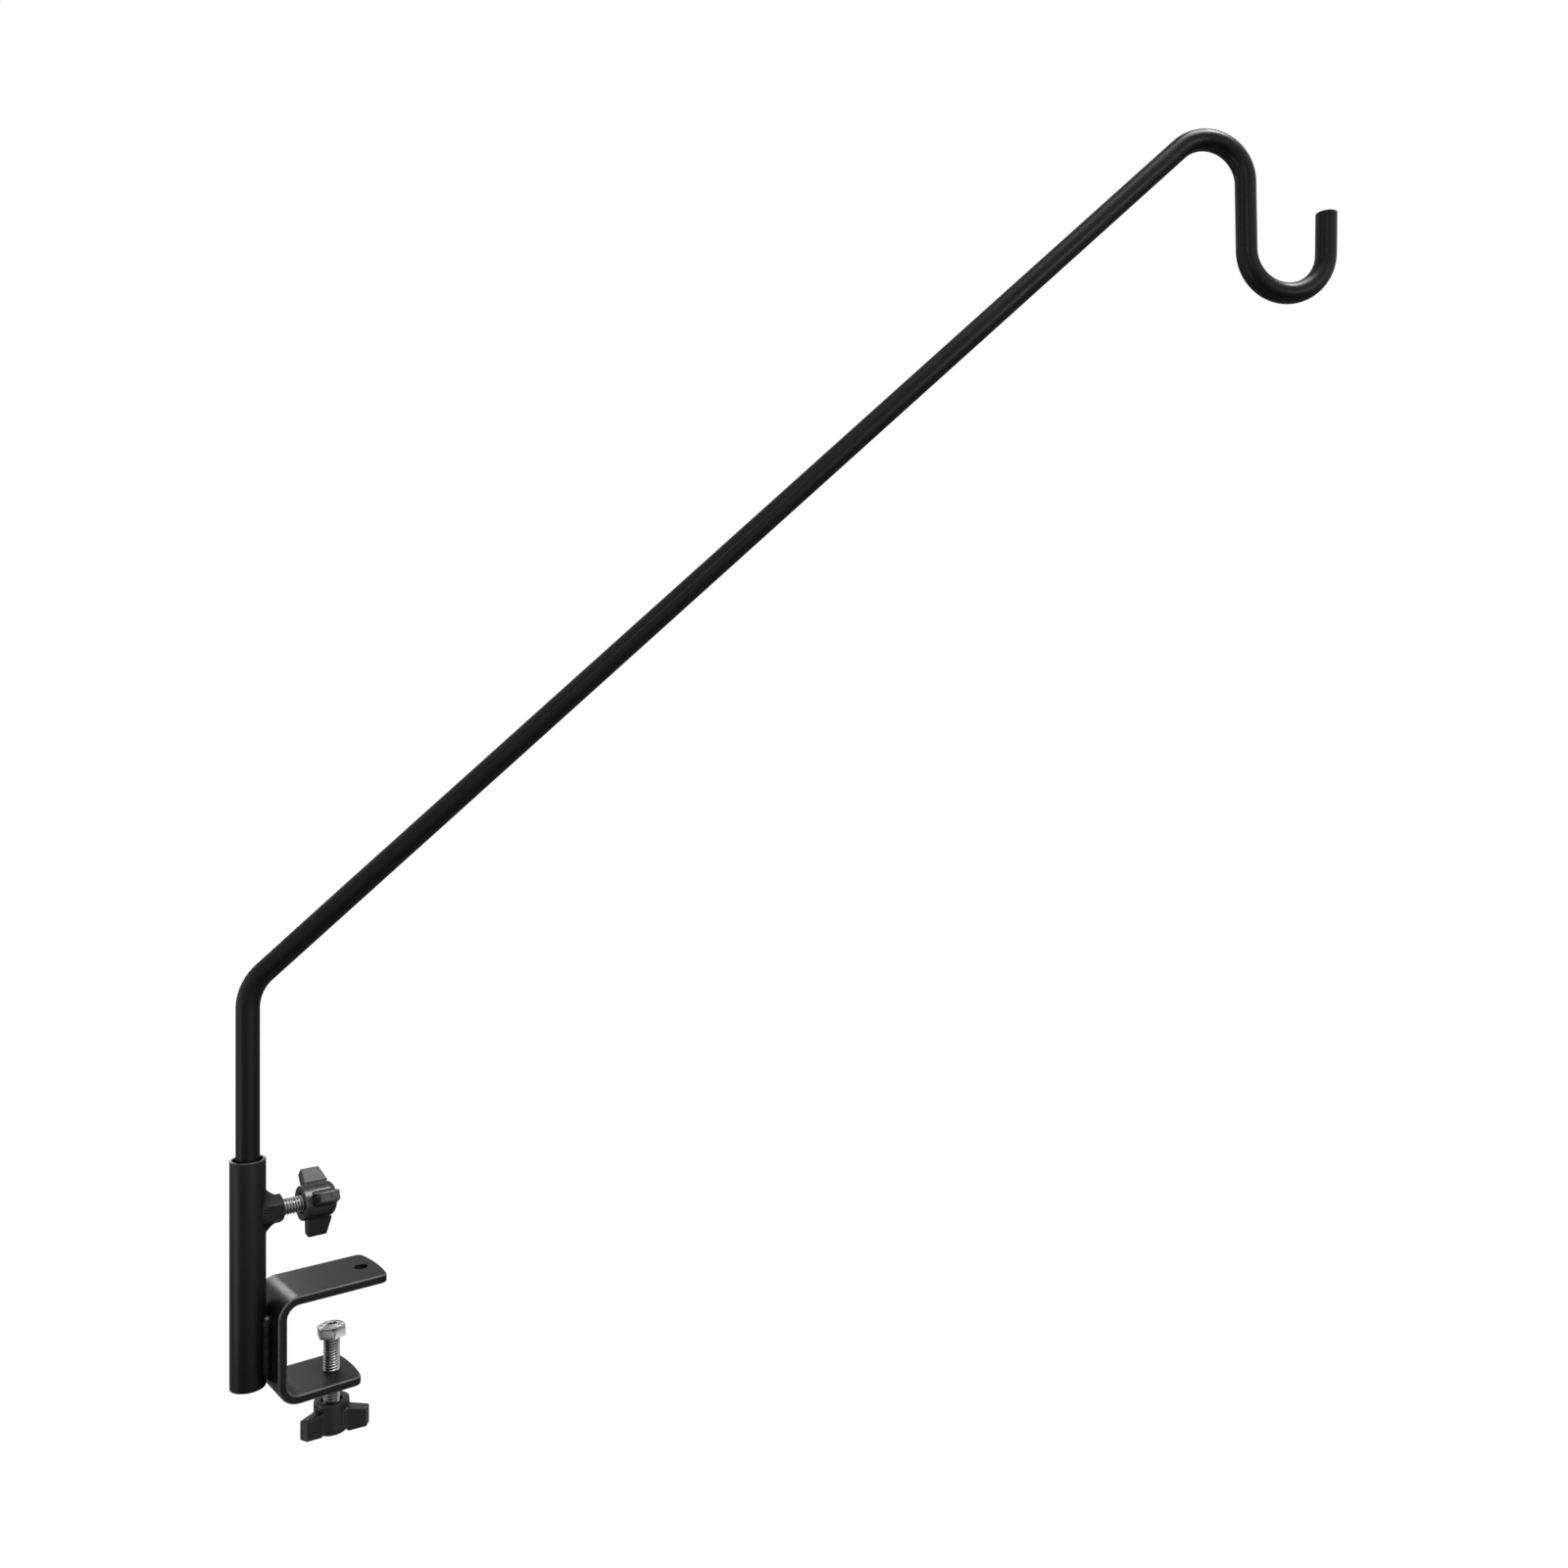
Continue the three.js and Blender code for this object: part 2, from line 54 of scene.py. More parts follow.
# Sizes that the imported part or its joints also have: lengths in millimetres, angles in degrees
SEAT_GAP = 0.3
ROD_RADIUS = 6.35
ROD_END_EDGE = 0.8
LEG_RISE = 96.2
DIAGONAL_LENGTH = 796
DIAGONAL_ANGLE = 42.58
DROP_LENGTH = 97.4
DROP_LEAN = 1
TIP_LENGTH = 24.8
LOWER_BEND_RADIUS = 28
UPPER_BEND_RADIUS = 25.4
HOOK_RADIUS = 25.9
HOOK_TURN = 178.3
ARM_SWING = -33
CAP_WALL = 0.9
CAP_FLOOR = 1.2
CAP_HEIGHT = 12
FOOT_INSET = 1
SLEEVE_RADIUS = 9.525
SLEEVE_WALL = 1.5
SLEEVE_LENGTH = 127
SLEEVE_TOP = 80.7
BAR_WIDTH = 42
BAR_THICKNESS = 5
BEND_INNER_RADIUS = 7
JAW_HEIGHT = 50
SCREW_REACH = 37.2
TOP_PLATE_LENGTH = 64.4
BOTTOM_PLATE_LENGTH = 49
PLATE_END_RADIUS = 110
PLATE_CORNER_RADIUS = 4.5
FIXING_HOLE_RADIUS = 4
FIXING_HOLE_INSET = 9.8
SCREW_RADIUS = 4.7
THREAD_PITCH = 1.5875
THREAD_ENGAGEMENT = 12.7
HEX_FLATS = 14.3
HEAD_HEIGHT = 6
HEAD_RAISE = 19.5
NUT_HEIGHT = 8.4
LOCK_DROP = 31
LOCK_KNOB_GAP = 10.8
CLAMP_KNOB_GAP = 12.3
LOCK_KNOB_TURN = 70
CLAMP_KNOB_TURN = -37

# Places that follow from them
WEB_X = -SCREW_REACH
SLEEVE_X = WEB_X - SEAT_GAP - SLEEVE_RADIUS
SLEEVE_BOTTOM = SLEEVE_TOP - SLEEVE_LENGTH
CAP_BOTTOM = SLEEVE_BOTTOM + FOOT_INSET
ROD_FOOT = CAP_BOTTOM + CAP_FLOOR + SEAT_GAP
BEND_OUTER_RADIUS = BEND_INNER_RADIUS + BAR_THICKNESS
BRACKET_BOTTOM = -JAW_HEIGHT - BAR_THICKNESS
FIXING_HOLE_X = WEB_X + TOP_PLATE_LENGTH - FIXING_HOLE_INSET
SCREW_WAY_RADIUS = SCREW_RADIUS + SEAT_GAP
NUT_X = SLEEVE_X + SLEEVE_RADIUS + SEAT_GAP
LOCK_Z = SLEEVE_TOP - LOCK_DROP
LOCK_FACE_X = NUT_X + NUT_HEIGHT + LOCK_KNOB_GAP
CLAMP_FACE_Z = BRACKET_BOTTOM - CLAMP_KNOB_GAP
STUD_X = SLEEVE_X + ROD_RADIUS + SEAT_GAP
BOLT_FOOT_Z = CLAMP_FACE_Z - THREAD_ENGAGEMENT
HEAD_Z = -JAW_HEIGHT + HEAD_RAISE

# How far a cutting shape reaches past what it cuts
OVERRUN = 1


# Objects and places

def new_object(name, data):
    thing = bpy.data.objects.new(name, data)
    bpy.context.scene.collection.objects.link(thing)
    return thing


def shift(x=0, y=0, z=0):
    """A move given in millimetres."""
    return Matrix.Translation((x * MM, y * MM, z * MM))


def rotation(degrees, axis):
    return Matrix.Rotation(math.radians(degrees), 4, axis)


ALONG_X = rotation(90, "Y")


def aim_camera():
    """A level camera at the photograph's viewing angle."""
    data = bpy.data.cameras.new("camera")
    data.sensor_width = FILM_WIDTH
    data.lens = LENS
    data.clip_start = 0.01
    camera = new_object("camera", data)
    turn = Matrix((RIGHT, UP, -AHEAD)).transposed().to_4x4()
    camera.matrix_world = Matrix.Translation(CAMERA_PLACE) @ turn
    bpy.context.scene.camera = camera


# Node tree helpers

def add_node(tree, kind, inputs=None, **settings):
    node = tree.nodes.new(kind)
    for key, value in settings.items():
        setattr(node, key, value)
    for key, value in (inputs or {}).items():
        socket = node.inputs[key]
        if isinstance(value, bpy.types.NodeSocket):
            tree.links.new(value, socket)
        else:
            socket.default_value = value
    return node


def math_node(tree, operation, first, second=0.0, third=0.0, clamp=False):
    values = {0: first, 1: second, 2: third}
    return add_node(tree, "ShaderNodeMath", values, operation=operation, use_clamp=clamp).outputs[0]


def ranged(tree, value, from_low, from_high, low=0.0, high=1.0):
    """A value stretched from one range to another, and held inside the second."""
    limits = {"From Min": from_low, "From Max": from_high, "To Min": low, "To Max": high}
    return add_node(tree, "ShaderNodeMapRange", {"Value": value, **limits}).outputs[0]


def noise(tree, place, scale, detail, roughness=0.5):
    settings = {"Vector": place, "Scale": scale, "Detail": detail, "Roughness": roughness}
    return add_node(tree, "ShaderNodeTexNoise", settings).outputs[0]


def object_place(tree):
    return tree.nodes.new("ShaderNodeTexCoord").outputs["Object"]


def attribute(tree, name):
    return add_node(tree, "ShaderNodeAttribute", attribute_name=name).outputs["Fac"]


def mixed(tree, mask, first, second):
    """Two colours mixed by a mask, each given as a socket or as three values."""
    sockets = bpy.types.NodeSocket
    first, second = [value if isinstance(value, sockets) else (*value, 1) for value in (first, second)]
    inputs = {"Factor": mask, "A": first, "B": second}
    return add_node(tree, "ShaderNodeMix", inputs, data_type="RGBA").outputs["Result"]


SOCKET_TYPES = {float: "NodeSocketFloat", int: "NodeSocketInt"}
GEOMETRY = "NodeSocketGeometry"
MATERIAL = "NodeSocketMaterial"


def new_group(name, kind, inputs, outputs):
    """A node group with named sockets, each given by its default number or by its socket type."""
    group = bpy.data.node_groups.new(name, kind)
    for side, sockets in (("INPUT", inputs), ("OUTPUT", outputs)):
        for label, given in sockets.items():
            socket_type = SOCKET_TYPES.get(type(given), given)
            socket = group.interface.new_socket(label, in_out=side, socket_type=socket_type)
            if socket_type != given:
                socket.default_value = given
    entry = group.nodes.new("NodeGroupInput")
    leave = group.nodes.new("NodeGroupOutput")
    return group, entry.outputs, leave.inputs


def place_group(tree, group, **values):
    node = add_node(tree, "ShaderNodeGroup", node_tree=group)
    for key, value in values.items():
        node.inputs[key.replace("_", " ")].default_value = value
    return node.outputs


# Shader groups

def make_fine_grain():
    """Small bumps and a slow change of gloss, on object coordinates."""
    inputs = {"Grain Scale": 900.0, "Wave Scale": 220.0, "Wave Share": 0.5}
    outputs = {"Height": 0.0, "Patches": 0.0}
    group, into, out = new_group("fine_grain", "ShaderNodeTree", inputs, outputs)
    place = object_place(group)
    grain = noise(group, place, into["Grain Scale"], detail=3.0)
    wave = noise(group, place, into["Wave Scale"], detail=1.0)
    height = add_node(group, "ShaderNodeMix", {"Factor": into["Wave Share"], "A": grain, "B": wave})
    patches = noise(group, place, scale=28.0, detail=4.0, roughness=0.6)
    group.links.new(height.outputs[0], out["Height"])
    group.links.new(patches, out["Patches"])
    return group


def make_light_dust():
    """A mask of fine dust on faces that look up, broken up by noise."""
    inputs = {"Amount": 0.3, "Speck Scale": 700.0}
    group, into, out = new_group("light_dust", "ShaderNodeTree", inputs, {"Mask": 0.0})
    place = object_place(group)
    facing = group.nodes.new("ShaderNodeNewGeometry").outputs["Normal"]
    height = add_node(group, "ShaderNodeSeparateXYZ", {0: facing}).outputs["Z"]
    upward = math_node(group, "MULTIPLY_ADD", height, 0.7, 0.3, clamp=True)
    specks = noise(group, place, into["Speck Scale"], detail=5.0)
    clouds = noise(group, place, scale=60.0, detail=3.0)
    both = math_node(group, "MULTIPLY", specks, clouds)
    lifted = math_node(group, "MULTIPLY_ADD", both, 3.2, -0.5, clamp=True)
    settled = math_node(group, "MULTIPLY", lifted, upward)
    group.links.new(math_node(group, "MULTIPLY", settled, into["Amount"]), out["Mask"])
    return group


def make_edge_highlight_paint():
    """A mask for a painted highlight along the faces marked as edges, uneven along them."""
    inputs = {"Amount": 0.7, "Patch Scale": 120.0}
    group, into, out = new_group("edge_highlight_paint", "ShaderNodeTree", inputs, {"Mask": 0.0})
    place = object_place(group)
    uneven = noise(group, place, into["Patch Scale"], detail=3.0)
    patchy = ranged(group, uneven, 0.3, 0.6, low=0.55)
    edge_highlight = math_node(group, "MULTIPLY", attribute(group, "edge_highlight_share"), patchy)
    group.links.new(math_node(group, "MULTIPLY", edge_highlight, into["Amount"]), out["Mask"])
    return group


# Finishes

def blank_material(name):
    material = bpy.data.materials.new(name)
    material.use_nodes = True
    tree = material.node_tree
    return material, tree, tree.nodes["Principled BSDF"]


def edge_highlighted(tree, colour, tone, amount):
    """The colour lightened towards a grey along the marked edges: a painted edge highlight."""
    edge_highlight = place_group(tree, groups["edge_highlight_paint"], Amount=amount)
    return mixed(tree, edge_highlight["Mask"], colour, (tone, tone, tone))


def connect(tree, shader, colour, gloss, rough, height, bump, depth):
    """Links colour, a gloss that varies between two roughnesses, and a relief of some depth in metres."""
    relief = add_node(tree, "ShaderNodeBump", {"Height": height, "Strength": bump, "Distance": depth})
    tree.links.new(colour, shader.inputs["Base Color"])
    tree.links.new(ranged(tree, gloss, 0.25, 0.75, *rough), shader.inputs["Roughness"])
    tree.links.new(relief.outputs["Normal"], shader.inputs["Normal"])


def coated_black(name, dark, dusty, rough, dust_amount, bump, shine):
    """Black coating with a soft sheen, fine orange peel, a painted highlight along its edges and a trace of
    dust.
    """
    material, tree, shader = blank_material(name)
    grain = place_group(tree, groups["fine_grain"], Grain_Scale=1500.0, Wave_Scale=420.0, Wave_Share=0.6)
    dust = place_group(tree, groups["light_dust"], Amount=dust_amount, Speck_Scale=900.0)
    # The marked edges are lightened towards grey: a painted highlight along them.
    colour = edge_highlighted(tree, mixed(tree, dust["Mask"], dark, dusty), tone=0.1, amount=0.85)
    connect(tree, shader, colour, grain["Patches"], rough, grain["Height"], bump, depth=0.0001)
    shader.inputs["Specular IOR Level"].default_value = shine
    return material


def moulded_black(name, dark, light, rough, bump):
    """Black moulded plastic with an even spark-eroded grain, a trace of dust and a painted highlight along
    its edges.
    """
    material, tree, shader = blank_material(name)
    grain = place_group(tree, groups["fine_grain"], Grain_Scale=2200.0, Wave_Scale=700.0, Wave_Share=0.3)
    dust = place_group(tree, groups["light_dust"], Amount=0.25, Speck_Scale=1400.0)
    # The marked edges are lightened towards grey: a painted highlight along them.
    colour = edge_highlighted(tree, mixed(tree, dust["Mask"], dark, light), tone=0.05, amount=0.6)
    connect(tree, shader, colour, grain["Height"], rough, grain["Height"], bump, depth=0.00015)
    shader.inputs["Specular IOR Level"].default_value = 0.65
    return material


def bright_zinc(name, bright, dull, rough, root_shade):
    """Bright zinc plate, duller in patches, with painted shade darkening the thread roots."""
    material, tree, shader = blank_material(name)
    grain = place_group(tree, groups["fine_grain"], Grain_Scale=1800.0, Wave_Scale=500.0, Wave_Share=0.5)
    tone = mixed(tree, grain["Patches"], bright, dull)
    # Painted shade: the thread roots darken towards a near black, standing in for the shade in the grooves.
    depth = math_node(tree, "MULTIPLY", attribute(tree, "thread_root"), root_shade, clamp=True)
    colour = mixed(tree, depth, tone, (0.05, 0.05, 0.048))
    connect(tree, shader, colour, grain["Patches"], rough, grain["Height"], bump=0.25, depth=0.00008)
    shader.inputs["Metallic"].default_value = 1.0
    return material


def make_finishes():
    coat = dict(dark=(0.004, 0.004, 0.0042), dusty=(0.03, 0.03, 0.03), rough=(0.32, 0.41))
    rod = dict(dark=(0.003, 0.003, 0.0032), dusty=(0.02, 0.02, 0.02), rough=(0.31, 0.39))
    knob = dict(dark=(0.006, 0.006, 0.006), light=(0.03, 0.03, 0.03), rough=(0.29, 0.37))
    cap = dict(dark=(0.008, 0.008, 0.008), light=(0.03, 0.03, 0.03), rough=(0.6, 0.75))
    zinc = dict(bright=(0.74, 0.74, 0.75), dull=(0.60, 0.60, 0.60), rough=(0.26, 0.40))
    insert = dict(bright=(0.05, 0.05, 0.052), dull=(0.03, 0.03, 0.03), rough=(0.35, 0.5))
    return {
        "rod_coat": coated_black("rod_coat", **rod, dust_amount=0.12, bump=0.25, shine=0.24),
        "steel_coat": coated_black("steel_coat", **coat, dust_amount=0.3, bump=0.35, shine=0.27),
        "plastic": moulded_black("plastic", **knob, bump=0.5),
        "cap_plastic": moulded_black("cap_plastic", **cap, bump=0.3),
        "zinc": bright_zinc("zinc", **zinc, root_shade=0.9),
        "insert_steel": bright_zinc("insert_steel", **insert, root_shade=0.0),
    }


# Mesh helpers

def mesh_from(bm, name):
    """The finished mesh, in one skin with its faces outwards."""
    bmesh.ops.remove_doubles(bm, verts=bm.verts, dist=1e-7)
    bmesh.ops.recalc_face_normals(bm, faces=bm.faces)
    mesh = bpy.data.meshes.new(name)
    bm.to_mesh(mesh)
    bm.free()
    return mesh


def baked(piece):
    """The piece's mesh with its modifiers applied; the object itself goes."""
    depsgraph = bpy.context.evaluated_depsgraph_get()
    mesh = bpy.data.meshes.new_from_object(piece.evaluated_get(depsgraph))
    bpy.data.objects.remove(piece)
    return mesh


def modified(mesh, kind, **settings):
    piece = new_object(mesh.name, mesh)
    modifier = piece.modifiers.new(kind.lower(), kind)
    for key, value in settings.items():
        setattr(modifier, key, value)
    return baked(piece)


def combined(mesh, other, operation):
    """A boolean of two closed meshes; the second one goes."""
    cutter = new_object(other.name, other)
    result = modified(mesh, "BOOLEAN", operation=operation, solver="EXACT", object=cutter)
    bpy.data.objects.remove(cutter)
    return result


def joined(name, *meshes):
    bm = bmesh.new()
    for mesh in meshes:
        bm.from_mesh(mesh)
    mesh = bpy.data.meshes.new(name)
    bm.to_mesh(mesh)
    bm.free()
    return mesh


def turned(name, profile, steps=96):
    """A solid turned about Z from (radius, height) points, closed on the axis or on itself."""
    bm = bmesh.new()
    closed = profile[0] == profile[-1]
    points = profile[:-1] if closed else profile
    rings = []
    for radius, height in points:
        if radius < 1e-6:
            rings.append([bm.verts.new((0, 0, height * MM))])
            continue
        ring = arc((0, 0), radius, 0, 360, steps)[:-1]
        rings.append([bm.verts.new((x * MM, y * MM, height * MM)) for x, y in ring])
    pairs = list(zip(rings, rings[1:]))
    if closed:
        pairs.append((rings[-1], rings[0]))
    for lower, upper in pairs:
        for i in range(steps):
            places = ((lower, i), (lower, i + 1), (upper, i + 1), (upper, i))
            corners = list(dict.fromkeys(ring[j % len(ring)] for ring, j in places))
            if len(corners) > 2:
                bm.faces.new(corners)
    return mesh_from(bm, name)


def peg(name, low, high, radius, top_radius=None, steps=48):
    """A round peg on Z, tapered where a top radius is given."""
    top_radius = top_radius or radius
    return turned(name, [(0, low), (radius, low), (top_radius, high), (0, high)], steps)


def lofted(name, loops, wrap=False):
    """Loops of points joined one to the next, and closed by caps or, where wrap is set, on themselves."""
    bm = bmesh.new()
    rows = [[bm.verts.new([value * MM for value in spot]) for spot in loop] for loop in loops]
    pairs = list(zip(rows, rows[1:]))
    if wrap:
        pairs.append((rows[-1], rows[0]))
    for lower, upper in pairs:
        for i in range(len(lower)):
            j = (i + 1) % len(lower)
            bm.faces.new((lower[i], lower[j], upper[j], upper[i]))
    if not wrap:
        bm.faces.new(rows[0])
        bm.faces.new(rows[-1])
    return mesh_from(bm, name)


def prism(name, outline, low, high):
    """A straight extrusion of an outline along Z."""
    return lofted(name, [[(x, y, level) for x, y in outline] for level in (low, high)])


def arc(centre, radius, start, end, steps):
    """Points on a circle, with both ends."""
    points = []
    for i in range(steps + 1):
        angle = math.radians(start + (end - start) * i / steps)
        points.append((centre[0] + radius * math.cos(angle), centre[1] + radius * math.sin(angle)))
    return points


def moved(mesh, matrix):
    mesh.transform(matrix)
    return mesh


def smooth_shaded(mesh, angle):
    """Smooth shading that breaks at edges sharper than the angle in degrees."""
    for polygon in mesh.polygons:
        polygon.use_smooth = True
    mesh.set_sharp_from_angle(angle=math.radians(angle))
    return mesh


def flat_faced(mesh, angle):
    """Smooth shading in which the large faces stay flat and the narrow ones turn."""
    return modified(smooth_shaded(mesh, angle), "WEIGHTED_NORMAL", keep_sharp=True, weight=90)


def softened(mesh, width, least):
    """Rounds the edges that turn by at least some degrees."""
    limit = {"limit_method": "ANGLE", "angle_limit": math.radians(least)}
    return modified(mesh, "BEVEL", width=width * MM, segments=2, use_clamp_overlap=True, **limit)


def highlight_edges_marked(mesh, least=13, full=30, width=0.9, side_share=0.4):
    """Marks the narrow faces that round an outward edge, where a painted highlight lightens the coat.

    A face counts if it is narrower than the width, and turns by at least the first angle across its
    longer sides. From the full angle on it counts wholly.
    """
    bm = bmesh.new()
    bm.from_mesh(mesh)
    marks = []
    for face in bm.faces:
        longest = max(edge.calc_length() for edge in face.edges)
        bend = 0.0
        if 1e-10 < face.calc_area() < longest * width * MM:
            sides = [edge for edge in face.edges if edge.calc_length() > side_share * longest]
            shared = [edge for edge in sides if len(edge.link_faces) == 2]
            turns = [math.degrees(edge.calc_face_angle_signed(0.0)) for edge in shared]
            bend = sum(turn for turn in turns if turn > least)
        marks.append(min(1.0, bend / full))
    bm.free()
    # Each face's share of the painted edge highlight
    layer = mesh.attributes.new("edge_highlight_share", "FLOAT", "FACE")
    layer.data.foreach_set("value", marks)
    return mesh


def add_piece(name, mesh, body, finish, node):
    """Puts one finished piece on its body and finish, in place of a node of the part."""
    mesh.name = name
    mesh.materials.clear()
    mesh.materials.append(finishes[finish])
    piece = new_object(name, mesh)
    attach(piece, body)
    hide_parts(node)


# Geometry Nodes pieces

MERGE_DISTANCE = 1e-6


def geometry_tree(name, **inputs):
    """A geometry tree with a material and the inputs given, whose words are parted by underscores."""
    named = {label.replace("_", " "): given for label, given in inputs.items()}
    return new_group(name, "GeometryNodeTree", {**named, "Material": MATERIAL}, {"Geometry": GEOMETRY})


def tree_mesh(tree, name, values, source=None):
    """Runs a geometry tree with the given input values and returns a plain mesh."""
    piece = new_object(name, source or bpy.data.meshes.new(name))
    modifier = piece.modifiers.new("shape", "NODES")
    modifier.node_group = tree
    for item in tree.interface.items_tree:
        if item.item_type == "SOCKET" and item.in_out == "INPUT" and item.name in values:
            modifier[item.identifier] = values[item.name]
    return baked(piece)


def finish_tree(tree, geometry, into, out):
    real = add_node(tree, "GeometryNodeRealizeInstances", {"Geometry": geometry}).outputs[0]
    settings = {"Geometry": real, "Material": into["Material"]}
    coated = add_node(tree, "GeometryNodeSetMaterial", settings)
    tree.links.new(coated.outputs[0], out["Geometry"])


def sealed(tree, geometry):
    settings = {"Geometry": geometry, "Distance": MERGE_DISTANCE}
    return add_node(tree, "GeometryNodeMergeByDistance", settings).outputs[0]


def make_rod_tree():
    """A round bar swept along a curve, whose own radius narrows the bar where it says so."""
    tree, into, out = geometry_tree("round_bar", Geometry=GEOMETRY, Bar_Radius=0.00635, Sides=48)
    circle = {"Resolution": into["Sides"], "Radius": into["Bar Radius"]}
    ring = add_node(tree, "GeometryNodeCurvePrimitiveCircle", circle, mode="RADIUS")
    sweep = {"Curve": into["Geometry"], "Profile Curve": ring.outputs[0], "Fill Caps": True}
    bar = add_node(tree, "GeometryNodeCurveToMesh", sweep)
    finish_tree(tree, bar.outputs[0], into, out)
    return tree


def make_thread_tree():
    """A threaded shank on Z: a grid rolled into a cylinder, its radius following one helix."""
    sizes = dict(Length=0.04, Major_Radius=0.004, Thread_Depth=0.0007, Pitch=0.00125, End_Chamfer=0.001)
    tree, into, out = geometry_tree("screw_thread", **sizes, Flat_Share=0.12, Rows=400, Columns=49)

    def calc(operation, *values):
        return math_node(tree, operation, *values)

    counts = {"Vertices X": into["Columns"], "Vertices Y": into["Rows"]}
    grid = add_node(tree, "GeometryNodeMeshGrid", {"Size X": 1.0, "Size Y": 1.0, **counts})
    position = tree.nodes.new("GeometryNodeInputPosition").outputs[0]
    place = add_node(tree, "ShaderNodeSeparateXYZ", {0: position}).outputs
    around = calc("ADD", place["X"], 0.5)
    along = calc("ADD", place["Y"], 0.5)
    angle = calc("MULTIPLY", around, 2 * math.pi)
    height = calc("MULTIPLY", along, into["Length"])

    # The depth below the crest, from the place between two turns of the helix
    turns = calc("SUBTRACT", calc("DIVIDE", height, into["Pitch"]), around)
    ridge = calc("ABSOLUTE", calc("MULTIPLY_ADD", calc("FRACT", turns), 2.0, -1.0))
    root = ranged(tree, ridge, into["Flat Share"], calc("SUBTRACT", 1.0, into["Flat Share"]))
    threaded = calc("SUBTRACT", into["Major Radius"], calc("MULTIPLY", root, into["Thread Depth"]))

    # The cone at each end, closed on the axis by the grid's first and last rows
    to_end = calc("MINIMUM", height, calc("SUBTRACT", into["Length"], height))
    narrow = calc("SUBTRACT", into["Major Radius"], calc("SUBTRACT", into["End Chamfer"], to_end))
    inside = calc("GREATER_THAN", to_end, 1e-7)
    radius = calc("MULTIPLY", calc("MINIMUM", threaded, narrow), inside)
    step = calc("DIVIDE", into["Length"], calc("SUBTRACT", into["Rows"], 1.0))
    capped = calc("MAXIMUM", height, step)
    capped = calc("MINIMUM", capped, calc("SUBTRACT", into["Length"], step))

    across = calc("MULTIPLY", radius, calc("COSINE", angle))
    sideways = calc("MULTIPLY", radius, calc("SINE", angle))
    spot = add_node(tree, "ShaderNodeCombineXYZ", {"X": across, "Y": sideways, "Z": capped})
    # The root share is kept for the painted shade in the thread roots.
    kept = add_node(
        tree,
        "GeometryNodeStoreNamedAttribute",
        {"Geometry": grid.outputs["Mesh"], "Name": "thread_root", "Value": root},
        data_type="FLOAT",
        domain="POINT",
    )
    rolled = {"Geometry": kept.outputs[0], "Position": spot.outputs[0]}
    shank = add_node(tree, "GeometryNodeSetPosition", rolled)
    finish_tree(tree, sealed(tree, shank.outputs[0]), into, out)
    return tree


def make_knurl_tree():
    """A bushing with straight knurls and a plain bore, on Z."""
    sizes = dict(Outer_Radius=0.0055, Tooth_Depth=0.0003, Bore_Radius=0.00425, Length=0.009)
    tree, into, out = geometry_tree("knurled_bushing", Teeth=36, **sizes)
    inner = math_node(tree, "SUBTRACT", into["Outer Radius"], into["Tooth Depth"])
    radii = {"Outer Radius": into["Outer Radius"], "Inner Radius": inner}
    star = add_node(tree, "GeometryNodeCurveStar", {"Points": into["Teeth"], **radii})
    circle = {"Resolution": 64, "Radius": into["Bore Radius"]}
    bore = add_node(tree, "GeometryNodeCurvePrimitiveCircle", circle, mode="RADIUS")
    both = tree.nodes.new("GeometryNodeJoinGeometry")
    tree.links.new(star.outputs["Curve"], both.inputs[0])
    tree.links.new(bore.outputs[0], both.inputs[0])
    face = add_node(tree, "GeometryNodeFillCurve", {"Curve": both.outputs[0]}).outputs[0]
    lift = add_node(tree, "ShaderNodeCombineXYZ", {"Z": into["Length"]}).outputs[0]
    raising = {"Mesh": face, "Offset": lift, "Individual": False}
    raised = add_node(tree, "GeometryNodeExtrudeMesh", raising)
    flipped = add_node(tree, "GeometryNodeFlipFaces", {"Mesh": face})
    whole = tree.nodes.new("GeometryNodeJoinGeometry")
    tree.links.new(raised.outputs["Mesh"], whole.inputs[0])
    tree.links.new(flipped.outputs[0], whole.inputs[0])
    finish_tree(tree, sealed(tree, whole.outputs[0]), into, out)
    return tree


# Rod

ROD_SIDES = 56
LOWER_TURN = DIAGONAL_ANGLE - 90
UPPER_TURN = -90 + DROP_LEAN - DIAGONAL_ANGLE


def rod_stations():
    """The rod's centreline in its own plane, as points (outward, height)."""
    spot = Vector((0, ROD_FOOT))
    heading = math.pi / 2
    stations = [spot.copy()]

    def setback(turn, radius):
        return radius * math.tan(math.radians(abs(turn)) / 2)

    def straight(length, cuts):
        for _ in range(cuts):
            spot.x += length / cuts * math.cos(heading)
            spot.y += length / cuts * math.sin(heading)
            stations.append(spot.copy())

    def bend(turn, radius, steps):
        nonlocal heading
        side = math.copysign(math.pi / 2, turn)
        centre = spot + radius * Vector((math.cos(heading + side), math.sin(heading + side)))
        first = heading
        for i in range(1, steps + 1):
            heading = first + math.radians(turn) * i / steps
            out = heading - side
            spot.x = centre.x + radius * math.cos(out)
            spot.y = centre.y + radius * math.sin(out)
            stations.append(spot.copy())

    lower_setback = setback(LOWER_TURN, LOWER_BEND_RADIUS)
    upper_setback = setback(UPPER_TURN, UPPER_BEND_RADIUS)
    straight(SLEEVE_TOP + LEG_RISE - lower_setback - ROD_FOOT, cuts=8)
    bend(LOWER_TURN, LOWER_BEND_RADIUS, steps=24)
    straight(DIAGONAL_LENGTH - lower_setback - upper_setback, cuts=30)
    bend(UPPER_TURN, UPPER_BEND_RADIUS, steps=48)
    straight(DROP_LENGTH - upper_setback, cuts=4)
    bend(HOOK_TURN, HOOK_RADIUS, steps=64)
    straight(TIP_LENGTH, cuts=3)
    return stations


